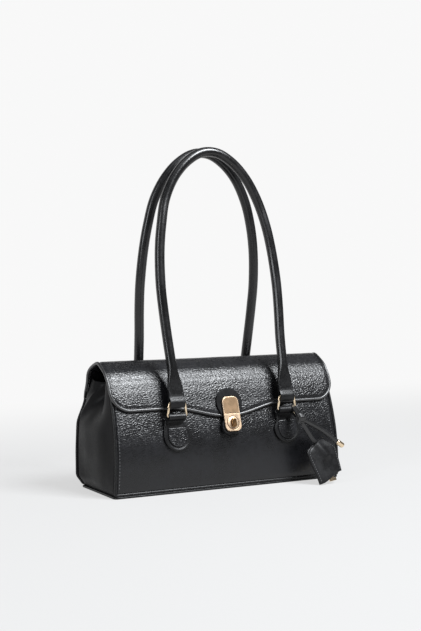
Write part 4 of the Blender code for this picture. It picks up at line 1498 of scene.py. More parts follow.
@dataclass
class Flap:
    """The arched flap in one sheet, with a rolled edge on three sides."""

    finishes: Wardrobe
    form: BagForm = FORM
    wave: float = 0.00045
    front_rows: int = 34
    along: int = 160
    tuck_reach: float = 0.004
    tuck_depth: float = 0.0006
    least: float = 0.0012
    drawn: float = 0.0012
    spacing: float = 0.0008
    edge_end: float = 0.75
    edge_swell: float = 0.62

    def columns(self, stations: Sequence[float], arch: Sequence[Vector]) -> list[list[Vector]]:
        """The outer profile at each place along the flap, from its lower edge to its hinge.

        Args:
            stations: The places along the flap.
            arch: The profile from the front shoulder on.

        Returns:
            A profile for each place.
        """
        found = []
        for x in stations:
            low = min(self.form.flap_low(x), arch[0].z - self.least)
            column = []
            for step in range(self.front_rows):
                z = low + (arch[0].z - low) * step / self.front_rows
                column.append(Vector((x, self.form.flap_front(z), z)))
            found.append(column + [Vector((x, point.y, point.z)) for point in arch])
        return found

    def leather(self) -> None:
        """The sheet, a little uneven, with its long edges drawn in."""
        arch = self.form.flap_arch(7)
        half = self.form.flap_half_length
        stations = [half * math.sin(math.pi * (step / self.along - 0.5)) for step in range(self.along + 1)]
        columns = self.columns(stations, arch)
        rows = len(columns[0]) - 1

        def place(u: float, v: float) -> Vector:
            """A point of the flap's outer face.

            Args:
                u: Its share of the way along the grid's rows.
                v: Its share of the way along the grid's columns.

            Returns:
                The point.
            """
            column = columns[round(u * self.along)]
            index = round(v * rows)
            point = column[index]
            before = column[max(index - 1, 0)]
            after = column[min(index + 1, rows)]
            out = Vector((0.0, before.z - after.z, after.y - before.y)).normalized()
            near = min(half - abs(point.x), (point - column[0]).length)
            held = smoothstep(near / self.tuck_reach)
            wave = self.wave * drift(point, 0.046, 11.0) * held
            return point + out * (wave - self.tuck_depth * (1.0 - held))

        inside = Vector((0.0, 0.0, 0.100))
        piece = leather_sheet("flap_leather", (self.along, rows), place, self.form.flap_thickness, inside, 0.0006)
        dress(piece, self.finishes.grained, Body.FLAP, ["flap"])

    def edge_path(self) -> list[Vector]:
        """The rolled edge's middle line.

        Returns:
            The line's points.
        """
        form = self.form
        arch = form.flap_arch(4)
        stand = form.bead + 2 * form.gap
        side = form.flap_half_length + stand
        inward = form.flap_thickness / 2
        edge = []
        for step in range(121):
            x = form.flap_half_length * math.sin(math.pi * (step / 120 - 0.5))
            past = max(abs(x) - (form.flap_half_length - form.flap_corner), 0.0) / form.flap_corner
            z = form.flap_low(x) - stand * math.sqrt(max(1 - past**2, 0.0))
            edge.append(Vector((x + math.copysign(stand * past, x), form.flap_front(z) + inward, z)))
        rise = []
        for step in range(1, 6):
            z = edge[-1].z + (arch[0].z - edge[-1].z) * step / 6
            rise.append(Vector((side, form.flap_front(z) + inward, z)))
        for before, point, after in zip(arch, arch[1:], arch[2:]):
            direction = (after - before).normalized()
            normal = Vector((0.0, direction.z, -direction.y))
            drawn = self.drawn * (1.0 - smoothstep((point.z - form.hinge) / 0.014)) if point.y > 0 else 0.0
            rise.append(Vector((side - drawn, point.y, point.z)) + normal * inward)
        rise.append(Vector((side - self.drawn, arch[-1].y - inward, arch[-1].z)))
        left = [Vector((-point.x, point.y, point.z)) for point in reversed(rise)]
        path = left[:1]
        for point in left + edge + rise:
            if (point - path[-1]).length > self.spacing:
                path.append(point)
        return path

    def rolled_edge(self) -> None:
        """The rolled edge."""

        def radius(along: float) -> float:
            """The edge's radius, smaller at its two ends."""
            return self.form.bead * (self.edge_end + self.edge_swell * smoothstep(min(along, 1 - along) / 0.05))

        piece = swept("flap_rolled_edge", self.edge_path(), tube(radius), Vector((0.0, 0.0, 1.0)), 18)
        dress(piece, self.finishes.edge, Body.FLAP, ["flap_bead"])

    def build(self) -> None:
        """Make the flap."""
        self.leather()
        self.rolled_edge()


@dataclass
class TurnLock:
    """The two plates, the knob, the leather tab and the pad of the lock."""

    finishes: Wardrobe
    form: BagForm = FORM
    half: float = 0.0105
    corner: float = 0.0064
    split: float = 0.0845
    upper: float = 0.0195
    lower: float = 0.0205
    plate: float = 0.0020
    gap: float = 0.0004
    tab: float = 0.0015
    drop: float = 0.0110
    disc: float = 0.0072
    disc_thickness: float = 0.0010
    margin: float = 0.0022
    rim: float = 0.0012
    tab_height: float = 0.0131
    tab_radius: float = 0.0169
    pad_depth: float = 0.0050
    field_depth: float = 0.0003
    recess_play: float = 0.0006
    stem: float = 0.0020
    grip_rise: float = 0.0024
    grip_radius: float = 0.0030
    grip_depth: float = 0.0038

    def frame(self, out: float) -> Matrix:
        """A frame on the lock's lean, its X to the right, its Y up the bag and its Z out of the lock.

        Args:
            out: How far off the flap its origin lies.

        Returns:
            The frame.
        """
        rise = self.form.front(self.split + self.upper) - self.form.front(self.split - self.lower)
        turn = Matrix.Rotation(math.pi / 2 - math.atan2(rise, self.upper + self.lower), 4, "X")
        foot = Vector((0.0, self.form.flap_front(self.split), self.split))
        return Matrix.Translation(foot + turn.to_3x3() @ Vector((0.0, 0.0, out))) @ turn

    @property
    def plate_out(self) -> float:
        """How far the plates' middle lies off the flap."""
        return 2 * self.form.gap + self.tab + self.plate / 2

    def at_knob(self, out: float) -> Matrix:
        """A place on the knob's axis in the lock's frame."""
        return Matrix.Translation((0.0, -self.drop, out))

    def leather_tab(self) -> None:
        """The smooth tab under the upper plate, round at its head."""
        foot = self.half + self.margin
        outline = arc((0.0, self.tab_height), self.tab_radius, -20, 200, 44) + [(-foot, self.gap), (foot, self.gap)]
        piece = outline_plate("lock_tab_leather", outline, self.tab, 0.0006)
        place_mesh(piece, self.frame(self.form.gap + self.tab / 2))
        dress(piece, self.finishes.gusset, Body.FLAP, ["lock_tab"])

    def pad(self) -> None:
        """The pad behind the lower plate, its back on the panel."""
        top = -self.gap - 4 * self.form.bead
        low = -self.lower - self.margin
        outline = rounded_rectangle(self.half + self.margin, low, top, self.corner, self.corner)
        front = self.plate_out - self.plate / 2 - self.form.gap
        piece = outline_plate("lock_pad_leather", outline, self.pad_depth, 0.0008)
        place_mesh(piece, self.frame(front - self.pad_depth / 2))
        for vertex in piece.data.vertices:
            vertex.co.y = min(vertex.co.y, self.form.front(vertex.co.z) - self.form.gap)
        dress(piece, self.finishes.smooth, Body.SHELL, ["lock_pad"])

    def upper_plate(self) -> None:
        """The plate on the flap, with a raised rim round a brushed field."""
        outline = rounded_rectangle(self.half, self.gap / 2, self.upper, self.corner, self.gap, 10)
        piece = outline_plate("lock_upper_metal", outline, self.plate, 0.00055, 4)
        place_mesh(piece, self.frame(self.plate_out))
        dress(piece, self.finishes.satin_gold, Body.FLAP, ["lock_upper_plate"])
        low, high = self.gap / 2 + 0.0006, self.upper - self.rim
        outline = rounded_rectangle(self.half - self.rim, low, high, self.corner - self.rim, self.gap, 10)
        field_plate = outline_plate("lock_upper_field", outline, self.field_depth, 0.0001, 2)
        place_mesh(field_plate, self.frame(self.plate_out + self.plate / 2 + 0.0001))
        dress(field_plate, self.finishes.brushed_gold, Body.FLAP)

    def lower_plate(self) -> None:
        """The plate on the front panel, with a round recess for the knob."""
        outline = rounded_rectangle(self.half, -self.lower, -self.gap / 2, self.gap, self.corner, 10)
        piece = outline_plate("lock_lower_metal", outline, self.plate)
        face = self.at_knob(self.plate / 2)
        cut(piece, turned("recess", self.disc + self.recess_play, 2 * self.disc_thickness, face, 0.0, 64))
        round_edges(piece, 0.00045)
        place_mesh(piece, self.frame(self.plate_out))
        dress(piece, self.finishes.satin_gold, Body.SHELL, ["lock_lower_plate"])

    def knob(self) -> None:
        """The disc in the recess with an oval grip on it and a stem behind."""
        floor = self.plate / 2 - self.disc_thickness + self.form.gap
        middle = self.at_knob(floor + self.disc_thickness / 2)
        disc = turned("disc", self.disc, self.disc_thickness, middle, 0.0003, 64)
        stem = turned("stem", self.stem, self.stem, self.at_knob(floor - 0.0008), 0.0, 32)
        outline = arc((0.0, self.grip_rise), self.grip_radius, 0, 180, 20)
        outline += arc((0.0, -self.grip_rise), self.grip_radius, 180, 360, 20)
        grip = outline_plate("turn_knob_grip", outline, self.grip_depth, 0.0010, 5)
        place_mesh(grip, self.at_knob(floor + self.grip_depth / 2 + self.form.gap))
        seat = joined("turn_knob_disc", [disc, stem])
        place_mesh(seat, self.frame(self.plate_out))
        dress(seat, self.finishes.satin_gold, Body.KNOB, ["turn_knob"])
        place_mesh(grip, self.frame(self.plate_out))
        dress(grip, self.finishes.bronze, Body.KNOB)

    def build(self) -> None:
        """Make the lock."""
        self.leather_tab()
        self.pad()
        self.upper_plate()
        self.lower_plate()
        self.knob()


@dataclass
class Carrier:
    """One face's rings, the tabs that hold them, and the handle with its folded ends."""

    finishes: Wardrobe
    side: Side
    form: BagForm = FORM
    place: float = 0.0720
    wire: float = 0.0014
    half: float = 0.0108
    ring_shift: float = 0.0007
    bow: float = 0.0026
    ring_taper: float = 0.20
    stand: float = 0.0038
    corner: float = 0.0022
    low: float = 0.0860
    high: float = 0.1025
    play: float = 0.0004
    strap: float = 0.0022
    tab_half: float = 0.0104
    round_radius: float = 0.0171
    round_shift: float = 0.0029
    round_height: float = 0.0646
    patch: float = 0.0020
    handle_radius: float = 0.0057
    loop_half: float = 0.0092
    spread: float = 0.0768
    foot: float = 0.1150
    climb: float = 0.2718
    root: float = 0.0046
    front_sway: float = 0.0540
    rear_sway: float = 0.0260
    neck_cut: float = 0.0031
    crown: float = 0.00025
    edge: float = 0.0005
    lap: float = 0.0001
    rim: float = 0.00070
    dish: float = 0.00045
    pad_radius: float = 0.0122
    pad_depth: float = 0.0018
    flare: float = 0.030
    seam_ridge: float = 0.09
    flat_wide: float = 0.60
    flat_thin: float = 0.57
    flat_square: float = 0.55
    root_thin: float = 0.15
    pad_side: tuple[tuple[float, float], ...] = ((0.0121, 0.0040), (0.0114, 0.0088))
    droop: float = 1.7
    stitch: float = 0.0021
    stitch_gap: float = 0.0010
    stitch_inset: float = 0.0018

    @property
    def rings_body(self) -> Body:
        """The body of this face's rings."""
        return Body.FRONT_RINGS if self.side is Side.FRONT else Body.REAR_RINGS

    @property
    def handle_body(self) -> Body:
        """The body of this face's handle."""
        return Body.FRONT_HANDLE if self.side is Side.FRONT else Body.REAR_HANDLE

    @property
    def low_bar(self) -> float:
        """The Y of the rings' low bars.

        Returns:
            The Y of their middle.
        """
        out = self.wire + self.play + self.strap + self.form.gap + self.patch / 2
        out += self.stand if self.side is Side.FRONT else 0.0
        return self.side.face(self.low) + self.side.outward * out

    @property
    def high_bar(self) -> float:
        """The Y of the rings' high bars."""
        return self.low_bar + self.side.outward * self.patch / 4

    def node(self, left: bool, kind: str) -> str:
        """The name of one of this face's nodes."""
        return f"{self.side.value}_{'left' if left else 'right'}_{kind}"

    def ring(self, x: float, left: bool) -> None:
        """A wire ring with straight bars top and bottom and bowed sides.

        Args:
            x: Its middle along the bag.
            left: Whether it is the left one.
        """
        rise = self.high - self.low
        path = []
        for across, up in rounded_rectangle(self.half, 0.0, rise, self.corner, self.corner, 7):
            y = self.low_bar + (self.high_bar - self.low_bar) * up / rise
            narrow = 1.0 - self.ring_taper * up / rise
            bow = math.copysign(self.bow * math.sin(math.pi * up / rise), across)
            path.append(Vector((x + self.ring_shift + across * narrow + bow, y, self.low + up)))
        node = self.node(left, "ring")
        piece = swept(f"{node}_wire", path, tube(lambda _: self.wire), Vector((0.0, -1.0, 0.0)), 18, True)
        dress(piece, self.finishes.pale_gold, self.rings_body, [node])

    def band(self, name: str, profile: Sequence[Vector], half: float, x: float, cut_right: float = 0.0) -> Object:
        """A strap of leather that follows a profile in Y and Z, with rounded cut edges.

        Args:
            name: The piece's name.
            profile: The strap's outer face in side view.
            half: Half its width.
            x: The strap's middle.
            cut_right: How much its right edge is cut back.

        Returns:
            The piece.
        """
        path = evenly([Vector((0.0, point.y, point.z)) for point in profile], 0.0006)
        rows = len(path) - 1
        turned_out = []
        for index, point in enumerate(path):
            along = path[min(index + 1, rows)] - path[max(index - 1, 0)]
            turned_out.append(Vector((0.0, along.z, -along.y)).normalized())

        def place(u: float, v: float) -> Vector:
            """A point of the strap's outer face.

            Args:
                u: Its share of the way along the grid's rows.
                v: Its share of the way along the grid's columns.

            Returns:
                The point.
            """
            index = round(v * rows)
            share = 2 * u - 1
            crown = self.crown * (1.0 - abs(share) ** 6)
            across = half * share - cut_right * u
            return Vector((x + across, 0.0, 0.0)) + path[index] + turned_out[index] * (crown - self.crown)

        return grid(name, 26, rows, place)

    def tab_loop(self, x: float, cut_right: float) -> Object:
        """The tab's neck, folded round the ring's low bar.

        Args:
            x: Its middle along the bag.
            cut_right: How much its right edge is cut back.

        Returns:
            The neck.
        """
        outward = self.side.outward
        outer = self.wire + self.play + self.strap
        top = self.low - outer * 1.6
        face = self.side.face(top) + outward * (2 * self.form.gap + self.patch)
        profile = [Vector((0.0, face, top - 0.0040)), Vector((0.0, face, top))]
        for step in range(19):
            angle = math.radians(-28 + 208 * step / 18)
            y = self.low_bar + outward * outer * math.cos(angle)
            profile.append(Vector((0.0, y, self.low + outer * math.sin(angle))))
        inner = self.side.face(top) + outward * (2 * self.form.gap + 0.0002 + self.strap)
        profile.append(Vector((0.0, inner, top + 0.0008)))
        piece = self.band("neck", profile, self.tab_half, x, cut_right)
        return wall(piece, self.strap - self.lap, Vector((x, self.low_bar, self.low)), self.edge)

    def patch_edge(self, angle: float, cut_right: float) -> tuple[float, float]:
        """The patch's outline: a disc whose top runs up into the neck.

        Args:
            angle: The direction from the disc's middle, 0 to the right and a quarter turn up.
            cut_right: How much the neck's right edge is cut back.

        Returns:
            The place across and the height above the disc's middle.
        """
        neck_top = self.low - self.wire - self.play - self.strap / 2 - self.round_height
        across = math.cos(angle)
        up = math.sin(angle)
        low, reach = 0.0, 1.6 * self.round_radius
        for _ in range(26):
            middle = (low + reach) / 2
            height = up * middle
            if height > 0:
                share = min(height / neck_top, 1.0)
                half = self.round_radius + (self.tab_half - self.round_radius) * share**1.4
                half -= cut_right * smoothstep(1.6 * share) if across > 0 else 0.0
                inside = abs(across) * middle < half and height < neck_top
            else:
                inside = middle < self.round_radius
            low, reach = (middle, reach) if inside else (low, middle)
        return across * low, up * low

    def round_patch(self, x: float, cut_right: float) -> Object:
        """The round end of a tab, with a raised rim.

        Args:
            x: Its middle along the bag.
            cut_right: How much its right edge is cut back.

        Returns:
            The patch.
        """
        outward = self.side.outward
        turns = 96
        rings = 26
        edge = [self.patch_edge(2 * math.pi * step / turns, cut_right) for step in range(turns + 1)]

        def place(u: float, v: float) -> Vector:
            """A point of the patch's outer face.

            Args:
                u: Its share of the way along the grid's rows.
                v: Its share of the way along the grid's columns.

            Returns:
                The point.
            """
            reach = max(v, 0.0002)
            across, up = edge[round(u * turns)]
            rim = self.rim * hill(v, 0.90, 0.055)
            dish = -self.dish * (1.0 - smoothstep((v - 0.62) / 0.22))
            fall = -0.0006 * smoothstep((v - 0.95) / 0.05)
            z = self.round_height + up * reach
            y = self.side.face(z) + outward * (2 * self.form.gap + self.patch + rim + dish + fall)
            shift = self.round_shift * (1.0 - smoothstep(up * reach / 0.018))
            return Vector((x + shift + outward * across * reach, y, z))

        piece = grid("disc", turns, rings, place)
        in_edit(piece, lambda: merge(0.00002))
        return wall(piece, self.patch - self.form.gap, Vector((x, -outward, self.round_height)), self.edge)

    def pad(self, x: float) -> Object:
        """The half-moon pad on the patch, with a crisp upper edge.

        Args:
            x: Its middle along the bag.

        Returns:
            The pad.
        """
        outward = self.side.outward
        radius = self.pad_radius
        outline = arc((0.0, 0.0), radius, 180, 360, 44) + list(self.pad_side)
        outline += [(-across, up) for across, up in reversed(self.pad_side)]
        piece = outline_plate("pad", outline, self.pad_depth, 0.0007)
        for vertex in piece.data.vertices:
            across, up, out = vertex.co
            z = self.round_height + up
            near = 1.0 - smoothstep(math.hypot(across, up) / radius)
            y = self.side.face(z) + outward * (2 * self.form.gap + self.patch + out + 0.0002 + 0.0004 * near)
            vertex.co = Vector((x + self.round_shift + across * -outward, y, z))
        return piece

    def tab(self, x: float, left: bool) -> None:
        """The whole tab that holds one ring.

        Args:
            x: Its middle along the bag.
            left: Whether it is the left one.
        """
        node = self.node(left, "ring_tab")
        cut_right = self.neck_cut if node == "front_right_ring_tab" else 0.0
        neck = self.tab_loop(x, cut_right)
        body = joined(f"{node}_leather", [neck, self.round_patch(x, cut_right)])
        dress(body, self.finishes.smooth, Body.SHELL, [node])
        pad = self.pad(x)
        pad.name = f"{node}_pad"
        dress(pad, self.finishes.grained_fine, Body.SHELL)

    def handle_line(self) -> list[Vector]:
        """The middle line of the handle, from its right foot over the top to its left foot.

        Returns:
            The line's points.
        """
        sway, lean = (self.front_sway, FRONT_LEAN) if self.side is Side.FRONT else (self.rear_sway, REAR_LEAN)
        toward = -self.side.outward * sway
        right = [(self.place, self.high_bar + toward * lean[0], self.foot)]
        for (across, up), share in zip(HANDLE_ARCH, lean[1:]):
            right.append((self.spread * across, self.high_bar + toward * share, self.foot + self.climb * up))
        left = [(-x, y, z) for x, y, z in reversed(right)]
        return evenly(smooth_path(right + left, 12), 0.0025)

    def handle(self) -> None:
        """The rolled handle: round, with a seam along it, and flat where it is folded over the rings."""
        line = self.handle_line()
        down = Vector((0.0, self.high_bar - line[0].y, self.high - self.foot)).normalized() * self.root
        path = [line[0] + down, line[0] + down / 2, *line, line[-1] + down / 2, line[-1] + down]
        length = path_length(path)
        radius = self.handle_radius

        def section(along: float, angle: float) -> tuple[float, float]:
            """A point of the section, round above and flat towards the two feet.

            Args:
                along: The share of the path's length.
                angle: The angle round the path.

            Returns:
                The point across the path.
            """
            near = min(along, 1 - along) * length
            flat = 1.0 - smoothstep((near - self.root) / self.flare)
            thin = 1.0 - self.root_thin * (1.0 - smoothstep(near / self.root))
            ridge = 1.0 + self.seam_ridge * hill(math.remainder(angle + 2.1, 2 * math.pi), 0.0, 0.13)
            uneven = 1.0 + 0.016 * drift((near, 0.0, 0.0), 0.03, 5.0)
            across = radius * (1.0 + self.flat_wide * flat**1.3)
            deep = radius * (1.0 - self.flat_thin * flat) * thin
            power = 1.0 - self.flat_square * flat
            wide = bent(math.cos(angle), power)
            high = bent(math.sin(angle), power)
            return across * wide * ridge * uneven, deep * high * ridge * uneven

        node = f"{self.side.value}_handle"
        piece = swept(f"{node}_leather", path, section, Vector((1.0, 0.0, 0.0)), 40)
        dress(piece, self.finishes.handle, self.handle_body, [node])

    def loop(self, x: float, left: bool) -> None:
        """A folded end of the handle, round the ring's high bar, with a stitched step.

        Args:
            x: Its middle along the bag.
            left: Whether it is the left one.
        """
        node = self.node(left, "handle_loop")
        foot = self.handle_line()[0]
        bar = Vector((0.0, self.high_bar, self.high))
        away = Vector((0.0, foot.y - bar.y, self.foot - self.high - 2 * self.form.gap))
        outer = self.wire + self.play + self.strap
        across = Vector((0.0, -away.z, away.y)).normalized()

        def spread(share: float) -> float:
            """How far the strap's outer face stands off the bar's line."""
            return self.strap + (outer - self.strap) * smoothstep((0.52 - share) / 0.5)

        shares = (0.75, 0.5, 0.38, 0.26, 0.14)
        profile = [bar + away + across * self.strap]
        profile += [bar + away * share + across * spread(share) for share in shares]
        for step in range(17):
            angle = math.pi * step / 16
            droop = self.droop * outer * math.sin(angle)
            profile.append(bar + across * outer * math.cos(angle) - away.normalized() * droop)
        profile += [bar + away * share - across * spread(share) for share in reversed(shares)]
        profile.append(bar + away - across * self.strap)
        strap = self.band("strap", profile, self.loop_half, x)
        wall(strap, self.strap - self.lap, bar + Vector((x, 0.0, 0.0)), self.edge)
        front = across * math.copysign(1.0, across.y * self.side.outward)
        lines = []
        for edge in (-1.0, 1.0):
            aside = Vector((x + edge * (self.loop_half - self.stitch_inset), 0.0, 0.0))
            shares = [0.36 + 0.58 * step / 8 for step in range(9)]
            lines.append([aside + bar + away * share + front * spread(share) for share in shares])
        asides = [Vector((x + self.loop_half * (0.72 * (2 * step / 6 - 1)), 0.0, 0.0)) for step in range(7)]
        lines.append([aside + bar + away * 0.34 + front * outer for aside in asides])
        rows = [stitch_row("seam", line, front, self.stitch, self.stitch_gap) for line in lines]
        dress(named(strap, f"{node}_leather"), self.finishes.smooth, self.handle_body, [node])
        seams = joined(f"{node}_stitches", rows)
        dress(seams, self.finishes.thread, self.handle_body)

    def build(self) -> None:
        """Make both ends and the handle."""
        for left in (True, False):
            x = -self.place if left else self.place
            self.ring(x, left)
            self.tab(x, left)
            self.loop(x, left)
        self.handle()


@dataclass
class Charm:
    """The lanyard on the right front ring, with its cap, its bell and the key inside."""

    finishes: Wardrobe
    form: BagForm = FORM
    bar: Vector = field(default_factory=lambda: Vector((0.0809, -0.0458936, 0.0860)))
    reach: Vector = field(default_factory=lambda: Vector((0.0, -0.0180, -0.0087)))
    wire: float = 0.0015
    knot_radius: float = 0.0042
    strand: float = 0.0028
    drop_strand: float = 0.0014
    drop_width: float = 0.0024
    cap_radius: float = 0.0032
    cap_length: float = 0.0110
    tail_reach: Vector = field(default_factory=lambda: Vector((0.0520, 0.0020, -0.0310)))
    tail_arch: float = 0.0018
    top_reach: Vector = field(default_factory=lambda: Vector((0.0273, -0.0010, -0.0290)))
    bell_way: Vector = field(default_factory=lambda: Vector((0.12, -0.30, -0.945)))
    bell_across: Vector = field(default_factory=lambda: Vector((0.93, 0.16, 0.33)))
    bell_half: float = 0.0180
    bell_length: float = 0.0460
    shoulder: float = 0.0120
    entry: float = 0.0078
    travel: float = 0.0050
    apex: float = 0.0039
    bell_leather: float = 0.0012
    mouth: float = 0.0026
    bulge: float = 0.34
    left_drop: float = 0.0024
    right_rise: float = 0.0074
    top_lift: float = 0.0018
    foot_lift: float = 0.0001
    strand_swell: float = 0.0026
    swell_reach: float = 0.0062
    seam_inset: float = 0.0021
    stitch: float = 0.0018
    stitch_gap: float = 0.0010
    key_radius: float = 0.0075
    key_hole: float = 0.0034
    key_length: float = 0.0330
    key_depth: float = 0.0012
    key_bit: tuple[tuple[float, float], ...] = (
        (0.0025, 0.0050),
        (0.0042, 0.0050),
        (0.0042, 0.0036),
        (0.0075, 0.0036),
        (0.0075, 0.0),
        (-0.0025, 0.0),
    )
    turn_levels: tuple[float, ...] = (-0.62, -0.10, 0.42)
    turn_radius: float = 0.0012
    knot_power: float = 0.45
    knot_core: float = 1.96
    ring_wire: float = 0.0014
    ring_play: float = 0.0005
    loop_wide: float = 0.0027
    loop_swell: float = 0.45
    groove: float = 0.16
    strand_side: Vector = field(default_factory=lambda: Vector((0.5, -0.2, 0.85)))
    strand_top: float = 0.0005
    strand_run: float = 0.0165
    seam_out: float = 0.0019

    @property
    def knot(self) -> Vector:
        """The knot's middle."""
        return self.bar + self.reach

    def frame_along(self, point: Vector, along: Vector, across: Vector) -> Matrix:
        """A frame at a point with its Z along one direction and its X near another.

        Args:
            point: Its origin.
            along: The direction of its Z.
            across: About the direction of its X.

        Returns:
            The frame.
        """
        z_axis = along.normalized()
        y_axis = z_axis.cross(across).normalized()
        turn = Matrix((y_axis.cross(z_axis), y_axis, z_axis)).transposed().to_4x4()
        return Matrix.Translation(point) @ turn

    @property
    def bell_frame(self) -> Matrix:
        """The bell's frame: origin at its top, X across it, Z down it, Y out of its back."""
        return self.frame_along(self.knot + self.top_reach, self.bell_way, self.bell_across)

    def start(self, way: Vector) -> Vector:
        """Where a strand leaves the knot."""
        return self.knot + way.normalized() * (self.knot_radius * math.sqrt(2) + self.form.gap)

    def pair(self, wide: float, deep: float, swell: float = 0.0) -> Section:
        """The section of two strands that lie side by side.

        Args:
            wide: Half its width.
            deep: Half its depth.
            swell: The share by which its ends are wider.

        Returns:
            The section.
        """

        def section(along: float, angle: float) -> tuple[float, float]:
            """A point of the section, narrow between the two strands.

            Args:
                along: The share of the path's length.
                angle: The angle round the path.

            Returns:
                The point across the path.
            """
            waist = 1.0 - 0.34 * hill(math.cos(angle), 0.0, 0.30)
            spread = 1.0 + swell * (2 * along - 1) ** 2
            return wide * spread * math.cos(angle), deep * math.sin(angle) * waist

        return section

    def loop(self) -> None:
        """The narrow strand round the ring's low bar."""
        radius = self.ring_wire + self.ring_play + self.wire
        way = self.reach.normalized()
        side = Vector((0.0, -way.z, way.y))
        reach = self.reach.length - self.knot_radius * 0.7
        narrow = self.wire + self.form.gap
        foot = self.bar + way * reach
        middle = self.bar + way * reach * 0.55
        points = [foot + side * narrow, middle + side * (radius + narrow) / 2]
        for step in range(13):
            angle = math.pi * step / 12
            points.append(self.bar + side * radius * math.cos(angle) - way * radius * math.sin(angle))
        points += [middle - side * (radius + narrow) / 2, foot - side * narrow]
        section = self.pair(self.loop_wide, self.wire, self.loop_swell)
        piece = swept("lanyard_loop_leather", smooth_path(points, 4), section, Vector((1.0, 0.0, 0.0)), 32)
        dress(piece, self.finishes.strand, Body.CHARM, ["lanyard_loop"])

    def gather(self) -> None:
        """The knot: a leather keeper wound round the strands."""
        frame = self.frame_along(self.knot, -self.reach, Vector((1.0, 0.0, 0.0)))
        deselect()
        bpy.ops.mesh.primitive_cube_add(size=self.knot_core * self.knot_radius)
        core = bpy.context.object
        apply_step(core, "BEVEL", width=self.knot_radius * 0.55, segments=5)
        parts = [place_mesh(smooth(core, 60.0), frame)]
        for level in self.turn_levels:
            ring = []
            for step in range(28):
                angle = 2 * math.pi * step / 28
                wide = self.knot_radius * 0.98
                across = bent(math.cos(angle), self.knot_power) * wide
                deep = bent(math.sin(angle), self.knot_power) * wide
                ring.append(frame @ Vector((across * 0.96, deep * 0.96, level * self.knot_radius * 1.15)))
            parts.append(swept("turn", ring, tube(lambda _: self.turn_radius), frame.col[2].to_3d(), 10, True))
        piece = joined("lanyard_knot_leather", parts)
        dress(piece, self.finishes.strand, Body.CHARM, ["lanyard_knot"])

    def tail(self) -> None:
        """The free strand, a rolled strip with a line along it, and its metal cap."""
        start = self.start(self.tail_reach)
        end = self.knot + self.tail_reach
        middle = start.lerp(end, 0.5) + Vector((0.0, 0.0, self.tail_arch))
        path = evenly(smooth_path([start, middle, end], 12), 0.0014)

        def section(along: float, angle: float) -> tuple[float, float]:
            """A point of the section, with its groove."""
            groove = 1.0 - self.groove * hill(math.remainder(angle - math.pi / 2, 2 * math.pi), 0.0, 0.20)
            return self.strand * math.cos(angle) * groove, self.strand * 0.94 * math.sin(angle) * groove

        piece = swept("lanyard_tail_leather", path, section, self.strand_side, 32)
        dress(piece, self.finishes.strand, Body.CHARM, ["lanyard_tail"])
        way = (self.tail_reach - Vector((0.0, 0.0, 2 * self.tail_arch))).normalized()
        middle = end + way * (self.cap_length / 2 + self.form.gap)
        place = self.frame_along(middle, way, Vector((0.0, 1.0, 0.0)))
        cap = turned("tail_cap_metal", self.cap_radius, self.cap_length, place, self.cap_radius * 0.45, 40)
        dress(cap, self.finishes.pale_gold, Body.CHARM, ["tail_cap"])

    def drop(self) -> None:
        """The strand that runs through the bell's top to the key."""
        frame = self.bell_frame
        top = frame @ Vector((-0.0045, 0.0, 0.0050))
        end = frame @ Vector((0.0, 0.0, self.shoulder + self.travel / 2))
        start = self.start(Vector((0.35, 0.0, -1.0)))
        lead = frame @ Vector((-self.entry - 0.0022, 0.0, -0.0040))
        curve = smooth_path([start, start.lerp(lead, 0.5), lead, top], 10)[:-10]
        path = evenly(curve + [lead.lerp(top, 0.5), top, end], 0.0012)
        section = self.pair(self.drop_width, self.drop_strand)
        piece = swept("lanyard_drop_leather", path, section, self.strand_side, 32)
        dress(piece, self.finishes.strand, Body.CHARM, ["lanyard_drop"])
        self.key()

    @property
    def bell_turn(self) -> Matrix:
        """The bell's frame with its face in the XY plane."""
        return self.bell_frame @ Matrix(((1, 0, 0, 0), (0, 0, -1, 0), (0, 1, 0, 0), (0, 0, 0, 1)))

    def key(self) -> Object:
        """The small key, with a round bow that has a hole and a bitted blade.

        Returns:
            The key.
        """
        top = self.shoulder + self.travel / 2 + self.form.gap
        head = top + self.key_radius
        foot = top + self.key_length
        outline = arc((0.0, head), self.key_radius, 110, 430, 40)
        outline += [(across, foot - up) for across, up in self.key_bit]
        piece = outline_plate("bell_key_metal", outline, self.key_depth, 0.0002, 2)
        cut(piece, turned("hole", self.key_hole, 0.0100, Matrix.Translation((0.0, head, 0.0)), 0.0, 32))
        place_mesh(piece, self.bell_turn)
        return dress(piece, self.finishes.pale_gold, Body.CHARM, ["bell_key"])

    def bell_edge(self, down: float) -> float:
        """Half the bell's width at a distance below its top.

        Args:
            down: The distance.

        Returns:
            The half width.
        """
        if down < self.shoulder:
            share = down / self.shoulder
            return self.apex + (self.bell_half - self.apex) * math.sin(math.pi / 2 * share) ** 1.15
        fall = (down - self.shoulder) / (self.bell_length - self.shoulder)
        return self.bell_half * (1.0 - 0.03 * fall)

    def bell_bulge(self, v: float) -> float:
        """The share by which the bell's left side stands out at a share of its length."""
        return self.bulge * smoothstep(v / 0.2) * (1.0 - smoothstep((v - 0.25) / 0.75))

    def bell_face(self, out: float) -> Object:
        """One leather face of the bell, swollen in its middle.

        Args:
            out: Which way it looks along the Z of its own mesh, -1 or 1.

        Returns:
            The face.
        """

